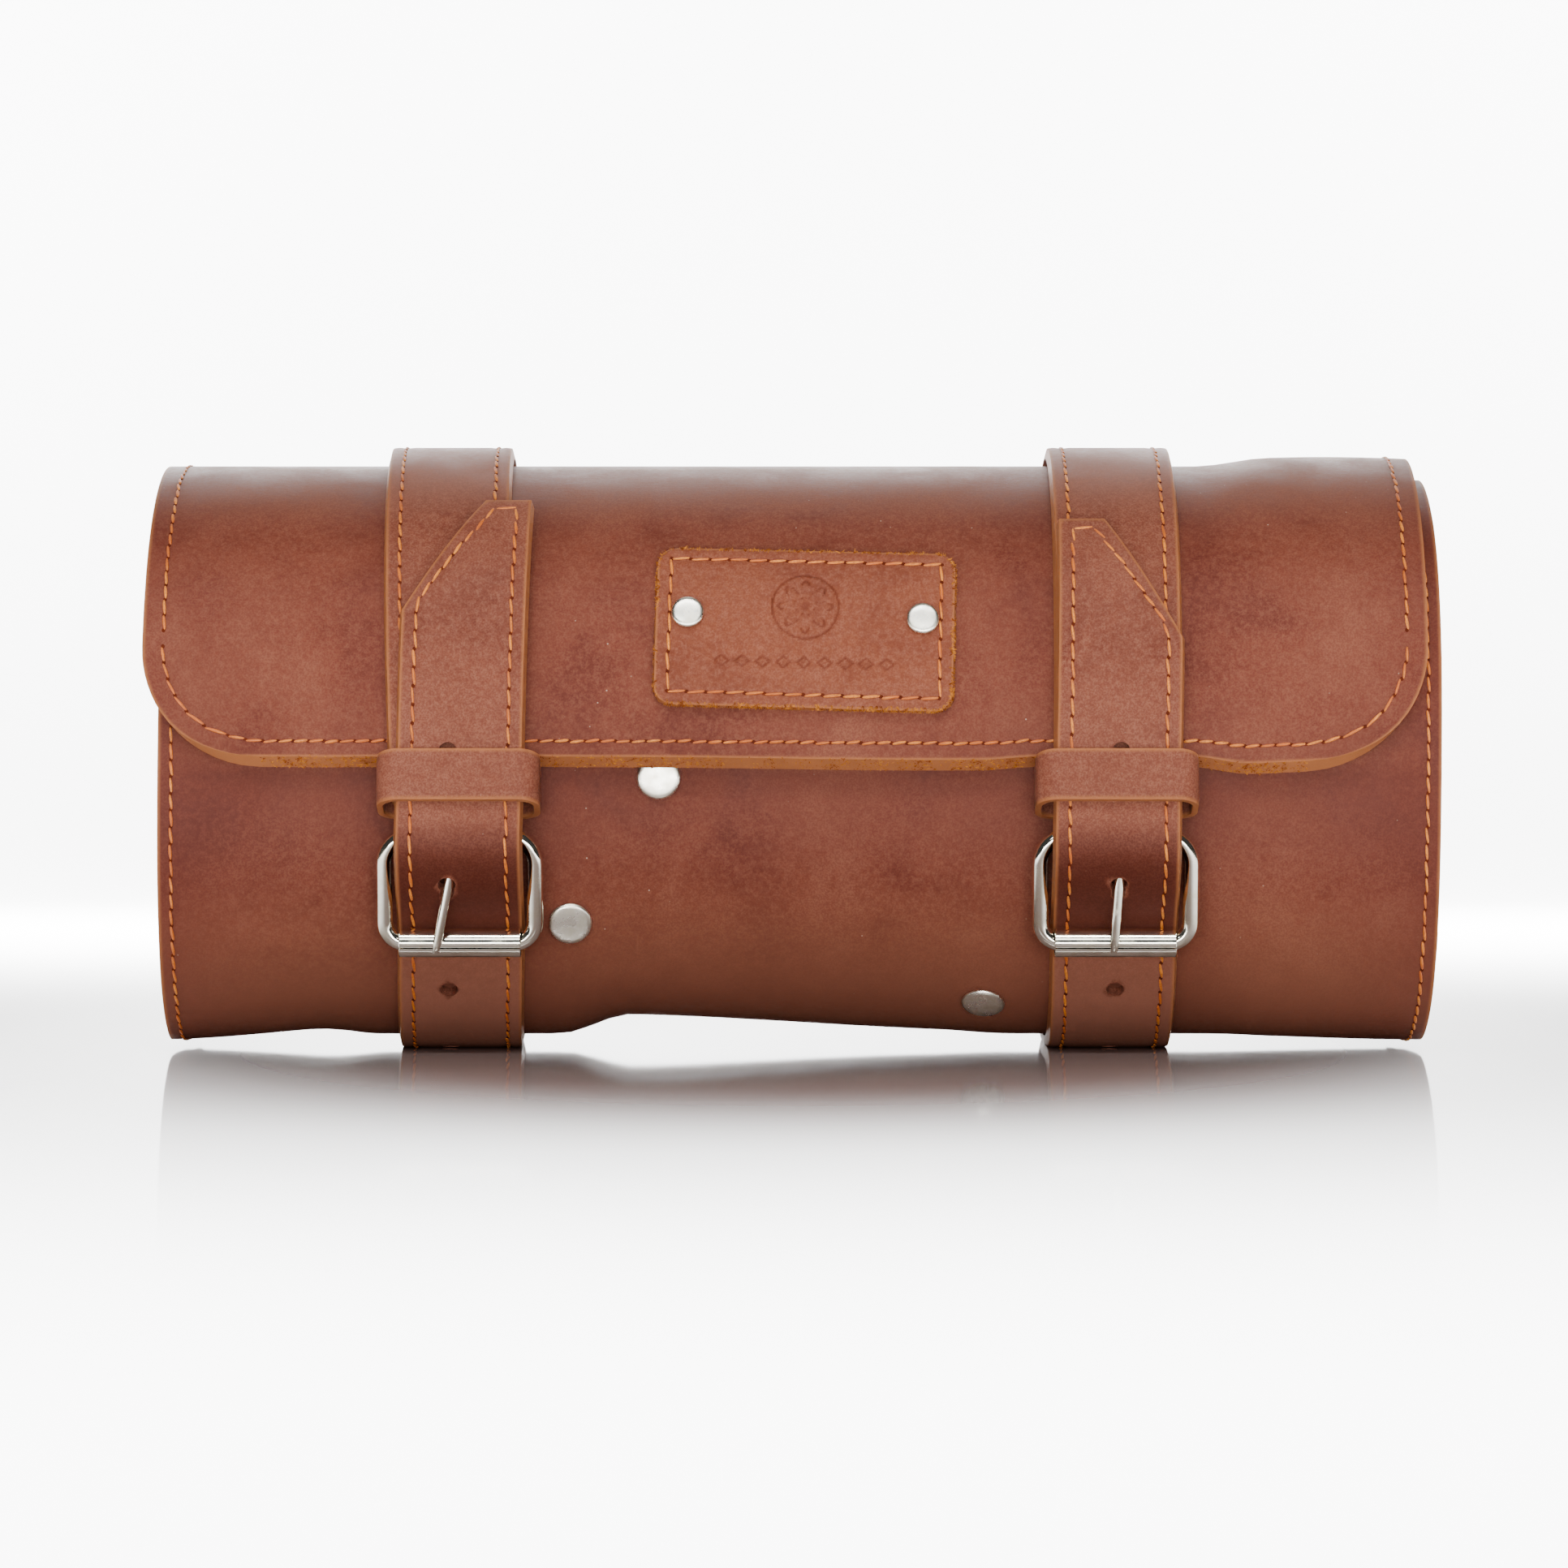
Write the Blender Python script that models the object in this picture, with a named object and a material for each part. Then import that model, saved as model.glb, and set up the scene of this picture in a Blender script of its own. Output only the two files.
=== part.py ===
"""A leather tool roll: one long sewn leather sheet rolled up, held shut by two buckled straps.

X runs along the roll, the flap and the buckles face -Y, and the roll rests on its straps at Z = 0.
Angles go round the roll in degrees, from 0 at the front, up over the top (90) and down the back.
A turned angle counts the same way along the leather sheet, from 0 at the flap's free edge inwards.
A height is measured outwards from the roll's face. Lines round the roll are lists of points (y, z).
"""

import math
from typing import NamedTuple

import bmesh
import bpy
from mathutils import Matrix, Vector

MM = 0.001
CLEAR = 0.4 * MM

# The rolled sheet
ROLL_WIDTH = 264.6 * MM
ROLL_DEPTH = 120.0 * MM
ROLL_HEIGHT = 127.0 * MM
LEATHER = 2.6 * MM
FLAP_GAP = 1.2 * MM
INNER_GAP = 3.8 * MM
FLAP_EDGE_ANGLE = -2.1
ROLLED_ANGLE = 684.0
FLAP_CORNER_RADIUS = 25.0 * MM
SIDEWAYS_DRIFT = 3.2 * MM
DRIFT_TURNS = 1.15
DRIFT_SHARE_AT_FLAP = -0.53
FLAP_LIFT = 1.3 * MM
FLAP_LIFT_ANGLE = 24.0
FLAP_EDGE_SLOPE = 2.2 * MM
SQUARENESS = 2.35
LOWER_SQUARENESS = 0.35
LOWER_FRONT_ANGLE = 305.0
UNDERSIDE_SINK = 1.6 * MM
UNDERSIDE_SOFTNESS = 0.8 * MM

# The straps
STRAP_WIDTH = 26.4 * MM
STRAP_THICKNESS = 2.4 * MM
STRAP_EDGE_SLOPE = 0.6 * MM
STRAP_TOP_LIFT = 1.2 * MM
BACK_START_ANGLE = 150.0
FOLD_THICKNESS = 1.3 * MM
FOLD_WIDTH = 18.4 * MM
FOLD_TAPER = 9.0 * MM
REST_HALF_ANGLE = 13.0
TIP_FLAT = 10.5 * MM
TIP_LENGTH = 28.0 * MM
TAIL_LEAN = 1.2
HOLE_DIAMETER = 3.7 * MM
HOLE_PITCH = 28.0 * MM
HOLES_BELOW = 3
ZONE_SHARE = 0.72
ZONE_FADE_SHARE = 0.6

# The buckles
BUCKLE_WIDTH = 34.4 * MM
BUCKLE_WIRE = 3.4 * MM
BUCKLE_PITCH = 22.5 * MM
HEEL_CORNER = 6.0 * MM
ROLLER_CORNER = 4.5 * MM
HEEL_ANGLE = -15.2
ROLLER_DIAMETER = 6.0 * MM
ROLLER_WALL = 0.5 * MM
ROLLER_LENGTH = 25.0 * MM
PRONG_WIRE = 2.1 * MM
PRONG_WRAP_ANGLE = 280.0
PRONG_TIP_LENGTH = 1.2 * MM
PRONG_TIP_DROP = 0.4 * MM
TAIL_SLOPE = 35.0

# The keeper loops
KEEPER_WIDTH = 33.6 * MM
KEEPER_LENGTH = 10.5 * MM
KEEPER_THICKNESS = 1.5 * MM
KEEPER_CORNER = 3.6 * MM
KEEPER_BACK_ANGLE = -7.2
KEEPER_FRONT_ANGLE = -4.4

# The patch and the rivets
PATCH_WIDTH = 61.3 * MM
PATCH_HEIGHT = 34.0 * MM
PATCH_THICKNESS = 1.8 * MM
PATCH_CORNER = 4.0 * MM
PATCH_TILT = -1.6
PATCH_X = 2.6 * MM
PATCH_ANGLE = 24.8
PATCH_RIVET_INSET = 6.45 * MM
PATCH_RIVET_RISE = 2.0 * MM
PATCH_CAP_RADIUS = 3.35 * MM
PATCH_CAP_HEIGHT = 1.3 * MM
BODY_CAP_RADIUS = 4.5 * MM
BODY_CAP_HEIGHT = 1.4 * MM
CAP_RIM = 0.5 * MM
POST_SHARE = 0.4
BACK_CAP_SHARE = 0.85
BACK_CAP_THICKNESS = 0.5 * MM

# Number of facets
SHEET_STEP = 7.5
CORNER_ROWS = 4
STRAP_STEP = 6.0
ROUND_SIDES = 16
WIRE_SIDES = 12
CORNER_STEPS = 4
PATCH_COLUMNS = 9


class Strap(NamedTuple):
    """One of the straps: its name, its place as a share of the roll's width, its tip's angle and
    the side that it slants on, how far its holes lie and its long run strays to the side as shares
    of its own width, and its prong's lean in degrees."""

    side: str
    x_share: float
    tip_angle: float
    slant: int
    aside_share: float
    stray_share: float
    prong_lean: float

    @property
    def x(self):
        """Place of the strap along the roll."""
        return self.x_share * ROLL_WIDTH

    @property
    def holes_aside(self):
        """How far the holes lie from the strap's middle."""
        return self.aside_share * STRAP_WIDTH


class Dent(NamedTuple):
    """A soft dent or bulge in the roll. Its depth is outward, as a share of the roll's height."""

    name: str
    x_share: float
    angle: float
    depth_share: float
    x_reach_share: float
    angle_reach: float


class BodyRivet(NamedTuple):
    """A capped rivet through the roll's leather: its name, its place as a share of the roll's
    width, and its angle."""

    name: str
    x_share: float
    angle: float


STRAPS = (
    Strap("left", -0.2585, 50.0, -1, -0.091, -0.18, 11.0),
    Strap("right", 0.2513, 45.3, 1, 0.015, 0.04, 4.0),
)

DENTS = (
    Dent("underside_hollow", -0.17, 276.0, -0.036, 0.20, 42.0),
    Dent("left_foot", -0.50, 285.0, 0.012, 0.10, 40.0),
    Dent("right_foot", 0.50, 285.0, 0.010, 0.12, 40.0),
    Dent("right_shoulder", 0.43, 88.0, 0.016, 0.14, 36.0),
    Dent("left_flap_fold", -0.40, 28.0, -0.013, 0.055, 22.0),
    Dent("lower_front_dip", 0.05, 305.0, -0.010, 0.12, 20.0),
)

BODY_RIVETS = (
    BodyRivet("rivet_under_flap", -0.104, -4.2),
    BodyRivet("rivet_beside_buckle", -0.1735, -33.0),
    BodyRivet("rivet_low", 0.1508, -52.7),
)


# Colours and finishes

def principled(name, colour, roughness, metallic):
    """A Principled BSDF material in one plain colour."""
    material = bpy.data.materials.new(name)
    material.use_nodes = True
    shader = material.node_tree.nodes["Principled BSDF"]
    shader.inputs["Base Color"].default_value = (*colour, 1.0)
    shader.inputs["Roughness"].default_value = roughness
    shader.inputs["Metallic"].default_value = metallic
    material.diffuse_color = (*colour, 1.0)
    return material


# The roll's outline and the layers wound on it

def outline(angle):
    """Point (y, z) of the plain outline, from the roll's axis: squarer low at the front, flat below."""
    turn = math.radians(angle)
    along, up = math.cos(turn), math.sin(turn)
    power = SQUARENESS + LOWER_SQUARENESS * math.cos(turn - math.radians(LOWER_FRONT_ANGLE))
    powers = abs(along / (ROLL_DEPTH / 2)) ** power + abs(up / (ROLL_HEIGHT / 2)) ** power
    radius = powers ** (-1 / power)
    above_rest = radius * up + ROLL_HEIGHT / 2 - UNDERSIDE_SINK
    softened = (above_rest + math.hypot(above_rest, UNDERSIDE_SOFTNESS)) / 2
    return Vector((-radius * along, softened - ROLL_HEIGHT / 2 + UNDERSIDE_SINK))


def outline_normal(angle):
    """Outward unit normal (y, z) of the outline."""
    step = 0.5
    return left_of(outline(angle + step) - outline(angle - step))


def left_of(run):
    """Unit vector (y, z) on the left of a run, which is outwards where a line goes up the front."""
    return Vector((-run.y, run.x)).normalized()


def inset(turned):
    """How far inside the outline the sheet's outer face lies, at a turned angle."""
    overlap_pitch = LEATHER + FLAP_GAP
    if turned <= 360:
        return overlap_pitch * turned / 360
    return overlap_pitch + (LEATHER + INNER_GAP) * (turned - 360) / 360


def away_from_straps(x):
    """0 under a strap and its buckle, rising smoothly to 1 beside them."""
    distance = min(abs(x - strap.x) for strap in STRAPS)
    share = (distance - ZONE_SHARE * STRAP_WIDTH) / (ZONE_FADE_SHARE * STRAP_WIDTH)
    share = min(max(share, 0.0), 1.0)
    return share * share * (3 - 2 * share)


def dent_height(x, angle):
    """How far the leather is pushed outwards by the dents and bulges."""
    total = 0.0
    for dent in DENTS:
        across = (x / ROLL_WIDTH - dent.x_share) / dent.x_reach_share
        around = ((angle - dent.angle + 180) % 360 - 180) / dent.angle_reach
        total += dent.depth_share * ROLL_HEIGHT * math.exp(-across * across - around * around)
    return total * away_from_straps(x)


def flap_lift(x, turned):
    """How far the flap stands off near its free edge, beside the straps."""
    share = max(0.0, 1 - turned / FLAP_LIFT_ANGLE)
    return FLAP_LIFT * share * share * away_from_straps(x)


def roll_point(angle, height, layer=0):
    """Point (y, z) at a height above the outermost layer, or above the one that many turns in."""
    turned = angle - FLAP_EDGE_ANGLE + 360 * layer
    return outline(angle) + outline_normal(angle) * (height - inset(turned))


def sheet_face(x, turned):
    """Point on the sheet's outer face and the outward normal there."""
    angle = turned + FLAP_EDGE_ANGLE
    normal = outline_normal(angle)
    point = outline(angle) + normal * (dent_height(x, angle) + flap_lift(x, turned) - inset(turned))
    return Vector((x, *point)), Vector((0.0, *normal))


def turned_per_length(turned):
    """Turned angle in degrees per metre of the sheet's outer face."""
    step = 1.0
    first, _ = sheet_face(STRAPS[0].x, turned)
    second, _ = sheet_face(STRAPS[0].x, turned + step)
    return step / (second - first).length


# Solids

def add_object(name, data, material):
    """Links a smooth-shaded object with one material to the scene."""
    obj = bpy.data.objects.new(name, data)
    data.materials.append(material)
    data.shade_smooth()
    data.set_sharp_from_angle(angle=math.radians(40))
    bpy.context.scene.collection.objects.link(obj)
    return obj


def loft(name, sections, material, closed=False):
    """A closed solid through sections that have the same even number of points each.

    A section's first half runs along one side and its second half comes back along the other.
    """
    mesh = bmesh.new()
    rings = [[mesh.verts.new(point) for point in section] for section in sections]
    count = len(rings[0])
    pairs = list(zip(rings, rings[1:]))
    if closed:
        pairs.append((rings[-1], rings[0]))
    for first, second in pairs:
        for index in range(count):
            after = (index + 1) % count
            mesh.faces.new((first[index], first[after], second[after], second[index]))
    if not closed:
        for ring in (rings[0], rings[-1]):
            for index in range(count // 2 - 1):
                far = count - 1 - index
                mesh.faces.new((ring[index], ring[index + 1], ring[far - 1], ring[far]))
    bmesh.ops.recalc_face_normals(mesh, faces=mesh.faces)
    data = bpy.data.meshes.new(name)
    mesh.to_mesh(data)
    mesh.free()
    return add_object(name, data, material)


def turned_solid(name, profile, matrix, material):
    """A solid of revolution about its own Z axis, closed at both ends, placed by a matrix."""
    sections = []
    for radius, height in profile:
        ring = []
        for index in range(ROUND_SIDES):
            turn = 2 * math.pi * index / ROUND_SIDES
            ring.append(matrix @ Vector((radius * math.cos(turn), radius * math.sin(turn), height)))
        sections.append(ring)
    return loft(name, sections, material)


def wire(name, points, across, diameter, material, closed=False):
    """A round wire along points that lie in the plane whose normal is given."""
    sections = []
    for index, point in enumerate(points):
        before = points[index - 1] if closed or index else point
        after = points[(index + 1) % len(points)] if closed or index + 1 < len(points) else point
        side = (after - before).cross(across).normalized()
        ring = []
        for number in range(WIRE_SIDES):
            turn = 2 * math.pi * (number + 0.5) / WIRE_SIDES
            ring.append(point + diameter / 2 * (math.cos(turn) * side + math.sin(turn) * across))
        sections.append(ring)
    return loft(name, sections, material, closed)


def rounded_loop(half_width, half_height, upper_radius, lower_radius):
    """Points round a rectangle with rounded corners, anticlockwise from its right side."""
    points = []
    for corner, (across, up) in enumerate(((1, 1), (-1, 1), (-1, -1), (1, -1))):
        radius = upper_radius if up > 0 else lower_radius
        for step in range(CORNER_STEPS + 1):
            turn = math.pi / 2 * (corner + step / CORNER_STEPS)
            points.append((
                across * (half_width - radius) + radius * math.cos(turn),
                up * (half_height - radius) + radius * math.sin(turn),
            ))
    return points


def facing(centre, normal):
    """A matrix at a centre with its Z axis along a normal."""
    matrix = normal.to_track_quat("Z", "Y").to_matrix().to_4x4()
    matrix.translation = centre
    return matrix


def cut(target, name, cutter):
    """Takes a cutter's shape out of a target and removes the cutter."""
    cutter.name = name
    modifier = target.modifiers.new(name, "BOOLEAN")
    modifier.operation = "DIFFERENCE"
    modifier.object = cutter
    with bpy.context.temp_override(object=target):
        bpy.ops.object.modifier_apply(modifier=name)
    bpy.data.objects.remove(cutter)


def pin(centre, normal, radius, depth):
    """A round cutter with the middle of its axis at a centre, along a normal."""
    bpy.ops.mesh.primitive_cylinder_add(vertices=ROUND_SIDES, radius=radius, depth=depth)
    cutter = bpy.context.object
    cutter.data.transform(facing(centre, normal))
    return cutter


def smooth_line(points, step):
    """Points about a step apart on a smooth curve through a few points."""
    ends = [2 * points[0] - points[1], *points, 2 * points[-1] - points[-2]]
    line = [points[0]]
    for before, start, end, after in zip(ends, ends[1:], ends[2:], ends[3:]):
        pieces = max(1, round((end - start).length / step))
        for piece in range(1, pieces + 1):
            t = piece / pieces
            square = 2 * before - 5 * start + 4 * end - after
            cube = 3 * start - before - 3 * end + after
            line.append(0.5 * (2 * start + (end - before) * t + square * t * t + cube * t ** 3))
    return line


# The rolled sheet

def sheet_middle(turned):
    """Middle of the sheet's width: the layers are wound slightly askew."""
    return SIDEWAYS_DRIFT * (DRIFT_SHARE_AT_FLAP + min(turned / 360, DRIFT_TURNS))


def rounded_half_width(distance, half_width, corner):
    """Half width at a distance from an edge whose two corners are rounded."""
    short = max(corner - distance, 0.0)
    return half_width - corner + math.sqrt(max(corner * corner - short * short, 0.0))


def corner_distances(corner, rows):
    """Distances from an edge, close together where its corners are rounded."""
    return [corner * (1 - math.cos(math.pi / 2 * row / rows)) for row in range(rows + 1)]


def column_places():
    """Places along the roll of the sheet's columns of facets, closest beside the straps."""
    places = [-ROLL_WIDTH / 2, 0.0, ROLL_WIDTH / 2]
    for strap in STRAPS:
        for share in (ZONE_SHARE, ZONE_SHARE + ZONE_FADE_SHARE):
            places += [strap.x - share * STRAP_WIDTH, strap.x + share * STRAP_WIDTH]
    places.append((min(places) + sorted(places)[1]) / 2)
    places.append((max(places) + sorted(places)[-2]) / 2)
    return sorted(places)


def fitted_place(place, middle, half):
    """A column's place in a row of the sheet, squeezed in beyond the straps if the row is short."""
    for strap, end in ((STRAPS[0], -1), (STRAPS[-1], 1)):
        anchor = strap.x + end * ZONE_SHARE * STRAP_WIDTH
        if end * (place - anchor) > 0:
            share = (place - anchor) / (end * ROLL_WIDTH / 2 - anchor)
            return anchor + share * (middle + end * half - anchor)
    return place


def build_sheet(material):
    """The whole leather sheet, from the flap's free edge to its inner end, as one solid."""
    rows = [
        (distance * turned_per_length(0.0), distance)
        for distance in corner_distances(FLAP_CORNER_RADIUS, CORNER_ROWS)
    ]
    first = rows[-1][0]
    steps = round((ROLLED_ANGLE - first) / SHEET_STEP)
    for step in range(1, steps + 1):
        rows.append((first + (ROLLED_ANGLE - first) * step / steps, FLAP_CORNER_RADIUS))
    places = column_places()
    sections = []
    for turned, distance in rows:
        half = rounded_half_width(distance, ROLL_WIDTH / 2, FLAP_CORNER_RADIUS)
        outer, inner = [], []
        for place in places:
            point, normal = sheet_face(fitted_place(place, sheet_middle(turned), half), turned)
            outer.append(point)
            inner.append(point - normal * LEATHER)
        if turned == 0:
            outer = [point + Vector((0.0, 0.0, FLAP_EDGE_SLOPE)) for point in outer]
        sections.append(outer + inner[::-1])
    return loft("roll_sheet", sections, material)


# The layers at a buckle: heights above the roll's face below the flap

ON_ROLL = CLEAR + STRAP_THICKNESS / 2
LAYER_STEP = STRAP_THICKNESS + CLEAR
PRONG_WRAP = BUCKLE_WIRE / 2 + CLEAR + PRONG_WIRE / 2
HEEL_HEIGHT = PRONG_WRAP + PRONG_WIRE / 2 + CLEAR
FOLD_RADIUS = BUCKLE_WIRE / 2 + CLEAR
MAIN_OVER_HEEL = HEEL_HEIGHT + FOLD_RADIUS + STRAP_THICKNESS / 2
ROLLER_HEIGHT = 2 * CLEAR + STRAP_THICKNESS + ROLLER_DIAMETER / 2
IN_KEEPER = 2 * CLEAR + KEEPER_THICKNESS + FOLD_THICKNESS / 2
TAIL_ROUND_ROLLER = ROLLER_DIAMETER / 2 + CLEAR + STRAP_THICKNESS / 2
TAIL_OVER_FOLD = FOLD_RADIUS + STRAP_THICKNESS + LAYER_STEP - STRAP_THICKNESS / 2
PRONG_OVER_ROLLER = ROLLER_DIAMETER / 2 + CLEAR + PRONG_WIRE / 2


class Buckle(NamedTuple):
    """Centres (y, z) of a buckle's heel bar and roller, and its downward and outward directions."""

    heel: Vector
    roller: Vector
    down: Vector
    out: Vector
    roller_angle: float

    def at(self, above_roller, outward):
        """Point (y, z) at a distance up from the roller's axis and a distance outwards."""
        return self.roller - self.down * above_roller + self.out * outward


def place_buckle():
    """The buckle's place on the roll, with the roller a buckle's pitch below the heel bar."""
    heel = roll_point(HEEL_ANGLE, HEEL_HEIGHT, layer=1)
    angle = HEEL_ANGLE
    while (roll_point(angle, ROLLER_HEIGHT, layer=1) - heel).length < BUCKLE_PITCH:
        angle -= 0.05
    roller = roll_point(angle, ROLLER_HEIGHT, layer=1)
    down = (roller - heel).normalized()
    return Buckle(heel, roller, down, Vector((down.y, -down.x)), angle)


# The straps

def upper_line(last_angle):
    """Centre line of a strap from over the heel bar up onto the flap, to an angle round the roll."""
    points = [roll_point(HEEL_ANGLE, MAIN_OVER_HEEL, layer=1)]
    steps = max(1, round((last_angle - FLAP_EDGE_ANGLE) / STRAP_STEP))
    for step in range(steps + 1):
        angle = FLAP_EDGE_ANGLE + (last_angle - FLAP_EDGE_ANGLE) * step / steps
        lift = STRAP_TOP_LIFT * math.exp(-(((angle - 84) / 34) ** 2))
        points.append(roll_point(angle, ON_ROLL + lift))
    return points


def back_line(first_angle, last_angle):
    """Centre line of a strap lying on the roll behind and below it."""
    steps = round((last_angle - first_angle) / STRAP_STEP)
    return [
        roll_point(first_angle + (last_angle - first_angle) * step / steps, ON_ROLL)
        for step in range(steps + 1)
    ]


def folded_end(buckle):
    """Centre line of a strap's thinned end and its fold round the heel bar, with the thicknesses."""
    rows = []
    for angle in (KEEPER_BACK_ANGLE + 5.0, KEEPER_BACK_ANGLE, KEEPER_BACK_ANGLE - 5.2):
        rows.append((roll_point(angle, IN_KEEPER, layer=1), FOLD_THICKNESS))
    steps = 8
    for step in range(steps + 1):
        share = step / steps
        thickness = FOLD_THICKNESS + (STRAP_THICKNESS - FOLD_THICKNESS) * share
        turn = math.radians(-90 + 180 * share)
        radius = FOLD_RADIUS + thickness / 2
        aside = math.cos(turn) * buckle.down + math.sin(turn) * buckle.out
        rows.append((buckle.heel + radius * aside, thickness))
    return rows


def climb(buckle):
    """Centre line of the tail, from round the roller up over the fold on the heel bar."""
    line = []
    for step in range(4):
        turn = math.radians(-90 + TAIL_SLOPE * step / 3)
        line.append(buckle.at(TAIL_ROUND_ROLLER * math.cos(turn), TAIL_ROUND_ROLLER * math.sin(turn)))
    slope = math.tan(math.radians(TAIL_SLOPE))
    top = TAIL_OVER_FOLD + CLEAR / 2
    rise_start = TAIL_ROUND_ROLLER * math.sin(math.radians(TAIL_SLOPE))
    low = -TAIL_ROUND_ROLLER * math.cos(math.radians(TAIL_SLOPE))
    for share in (0.55, 0.78, 0.93):
        run = (top * share - low) / slope * (1 + 0.35 * max(0.0, share - 0.55))
        line.append(buckle.at(rise_start + run, top * share))
    line.append(buckle.at(BUCKLE_PITCH - (BUCKLE_PITCH - rise_start - run) / 2, top))
    return line


class StrapLine(NamedTuple):
    """A strap's centre line as rows of a point (y, z), a normal and a thickness, from fold to tip."""

    points: list
    normals: list
    thicknesses: list
    fold_row: int
    heel_row: int
    roller_row: int


def strap_line(strap, buckle):
    """The whole strap: folded end, up over the roll, down behind, through the buckle, tail."""
    folded = folded_end(buckle)
    points = [point for point, _ in folded]
    thicknesses = [thickness for _, thickness in folded]
    over = upper_line(BACK_START_ANGLE)
    points += over[1:]
    points += back_line(BACK_START_ANGLE + STRAP_STEP, buckle.roller_angle + 360 - 9)
    roller_row = len(points)
    points += climb(buckle)
    heel_row = len(points)
    tail = upper_line(strap.tip_angle)
    lower = [point + left_of(run) * LAYER_STEP for point, run in zip(tail, runs(tail))]
    points += lower
    points = points[:heel_row] + smooth_line(points[heel_row:], STRAP_STEP * MM)
    thicknesses += [STRAP_THICKNESS] * (len(points) - len(thicknesses))
    normals = [left_of(run) for run in runs(points)]
    return StrapLine(points, normals, thicknesses, len(folded) - 1, heel_row, roller_row)


def runs(line):
    """The direction of a line at each of its points."""
    last = len(line) - 1
    return [line[min(row + 1, last)] - line[max(row - 1, 0)] for row in range(len(line))]


def lengths_along(line):
    """The distance of each point of a line from its start."""
    found = [0.0]
    for start, end in zip(line, line[1:]):
        found.append(found[-1] + (end - start).length)
    return found


def strap_middle(strap, line, along, row):
    """Middle of the strap's width at a row: its long run strays and its tail leans to one side."""
    stray = math.sin(math.pi * min(along[row] / along[line.roller_row], 1.0))
    lean = max(0.0, along[row] - along[line.heel_row])
    middle = strap.x + strap.stray_share * STRAP_WIDTH * stray
    return middle + lean * math.tan(math.radians(TAIL_LEAN))


def strap_width(beyond_fold):
    """Width of the strap at a distance beyond its fold, where it is narrowed for the heel bar."""
    share = min(max(beyond_fold / FOLD_TAPER, 0.0), 1.0)
    return FOLD_WIDTH + (STRAP_WIDTH - FOLD_WIDTH) * share


def build_strap(strap, buckle, material):
    """One strap as a solid, with its slanted tip, its holes and the slot for the prong."""
    line = strap_line(strap, buckle)
    along = lengths_along(line.points)
    floor = max(
        roll_point(270 + side * REST_HALF_ANGLE, ON_ROLL + STRAP_THICKNESS / 2).y
        for side in (-1, 1)
    )
    sections = []
    for row, (centre, normal, thickness) in enumerate(zip(line.points, line.normals, line.thicknesses)):
        middle = strap_middle(strap, line, along, row)
        width = strap_width(along[row] - along[line.fold_row])
        left, right = middle - width / 2, middle + width / 2
        slanted = max(0.0, 1 - (along[-1] - along[row]) / TIP_LENGTH) * (STRAP_WIDTH - TIP_FLAT)
        if strap.slant < 0:
            left += slanted
        else:
            right -= slanted
        outer = centre + normal * thickness / 2
        inner = centre - normal * thickness / 2
        outer.y = max(outer.y, floor)
        sections.append([
            Vector((left + STRAP_EDGE_SLOPE, *outer)),
            Vector((right - STRAP_EDGE_SLOPE, *outer)),
            Vector((right, *inner)),
            Vector((left, *inner)),
        ])
    solid = loft(f"strap_{strap.side}", sections, material)
    cut_fold_slot(solid, strap, buckle)
    cut_tail_holes(solid, strap, line, along, buckle)
    return solid


def prong_x(strap, down):
    """Place along the roll of the leaning prong, at a distance below the heel bar."""
    lean = math.tan(math.radians(strap.prong_lean))
    return strap.x + strap.holes_aside + (BUCKLE_PITCH / 2 - down) * lean


def cut_fold_slot(solid, strap, buckle):
    """The slot in the fold for the prong's loop round the heel bar."""
    radius = PRONG_WRAP + PRONG_WIRE / 2 + CLEAR
    centre = Vector((prong_x(strap, 0.0), *buckle.heel))
    cutter = pin(centre, Vector((1.0, 0.0, 0.0)), radius, PRONG_WIRE + 2 * CLEAR)
    cut(solid, f"slot_cutter_{strap.side}", cutter)


def prong_line(buckle):
    """Centre line of a prong: a loop round the heel bar, then straight down over the roller."""
    points = []
    steps = 14
    for step in range(steps + 1):
        turn = math.radians(90 + PRONG_WRAP_ANGLE * (1 - step / steps))
        aside = math.cos(turn) * buckle.down + math.sin(turn) * buckle.out
        points.append(buckle.heel + PRONG_WRAP * aside)
    points.append(buckle.at(0.0, PRONG_OVER_ROLLER))
    points.append(buckle.at(-PRONG_TIP_LENGTH, PRONG_OVER_ROLLER - PRONG_TIP_DROP))
    return points


def prong_route(strap, buckle):
    """The prong's centre line as points in space, leaning to one side below the heel bar."""
    route = []
    for point in prong_line(buckle):
        down = max(0.0, (point - buckle.heel).dot(buckle.down))
        beyond_loop = down if (point - buckle.heel).dot(buckle.out) > PRONG_WRAP * 0.99 else 0.0
        route.append(Vector((prong_x(strap, beyond_loop), *point)))
    return route


def prong_crossing(line, buckle):
    """Row after which the tail passes from below the prong to above it, and the share beyond it."""
    start, end = prong_line(buckle)[-3:-1]
    side = Vector((end.y - start.y, start.x - end.x)).normalized()
    previous = None
    for row in range(line.roller_row, line.heel_row + 1):
        offset = (line.points[row] - start).dot(side)
        if previous is not None and previous * offset <= 0:
            return row - 1, previous / (previous - offset)
        previous = offset
    return line.heel_row - 1, 0.5


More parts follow.
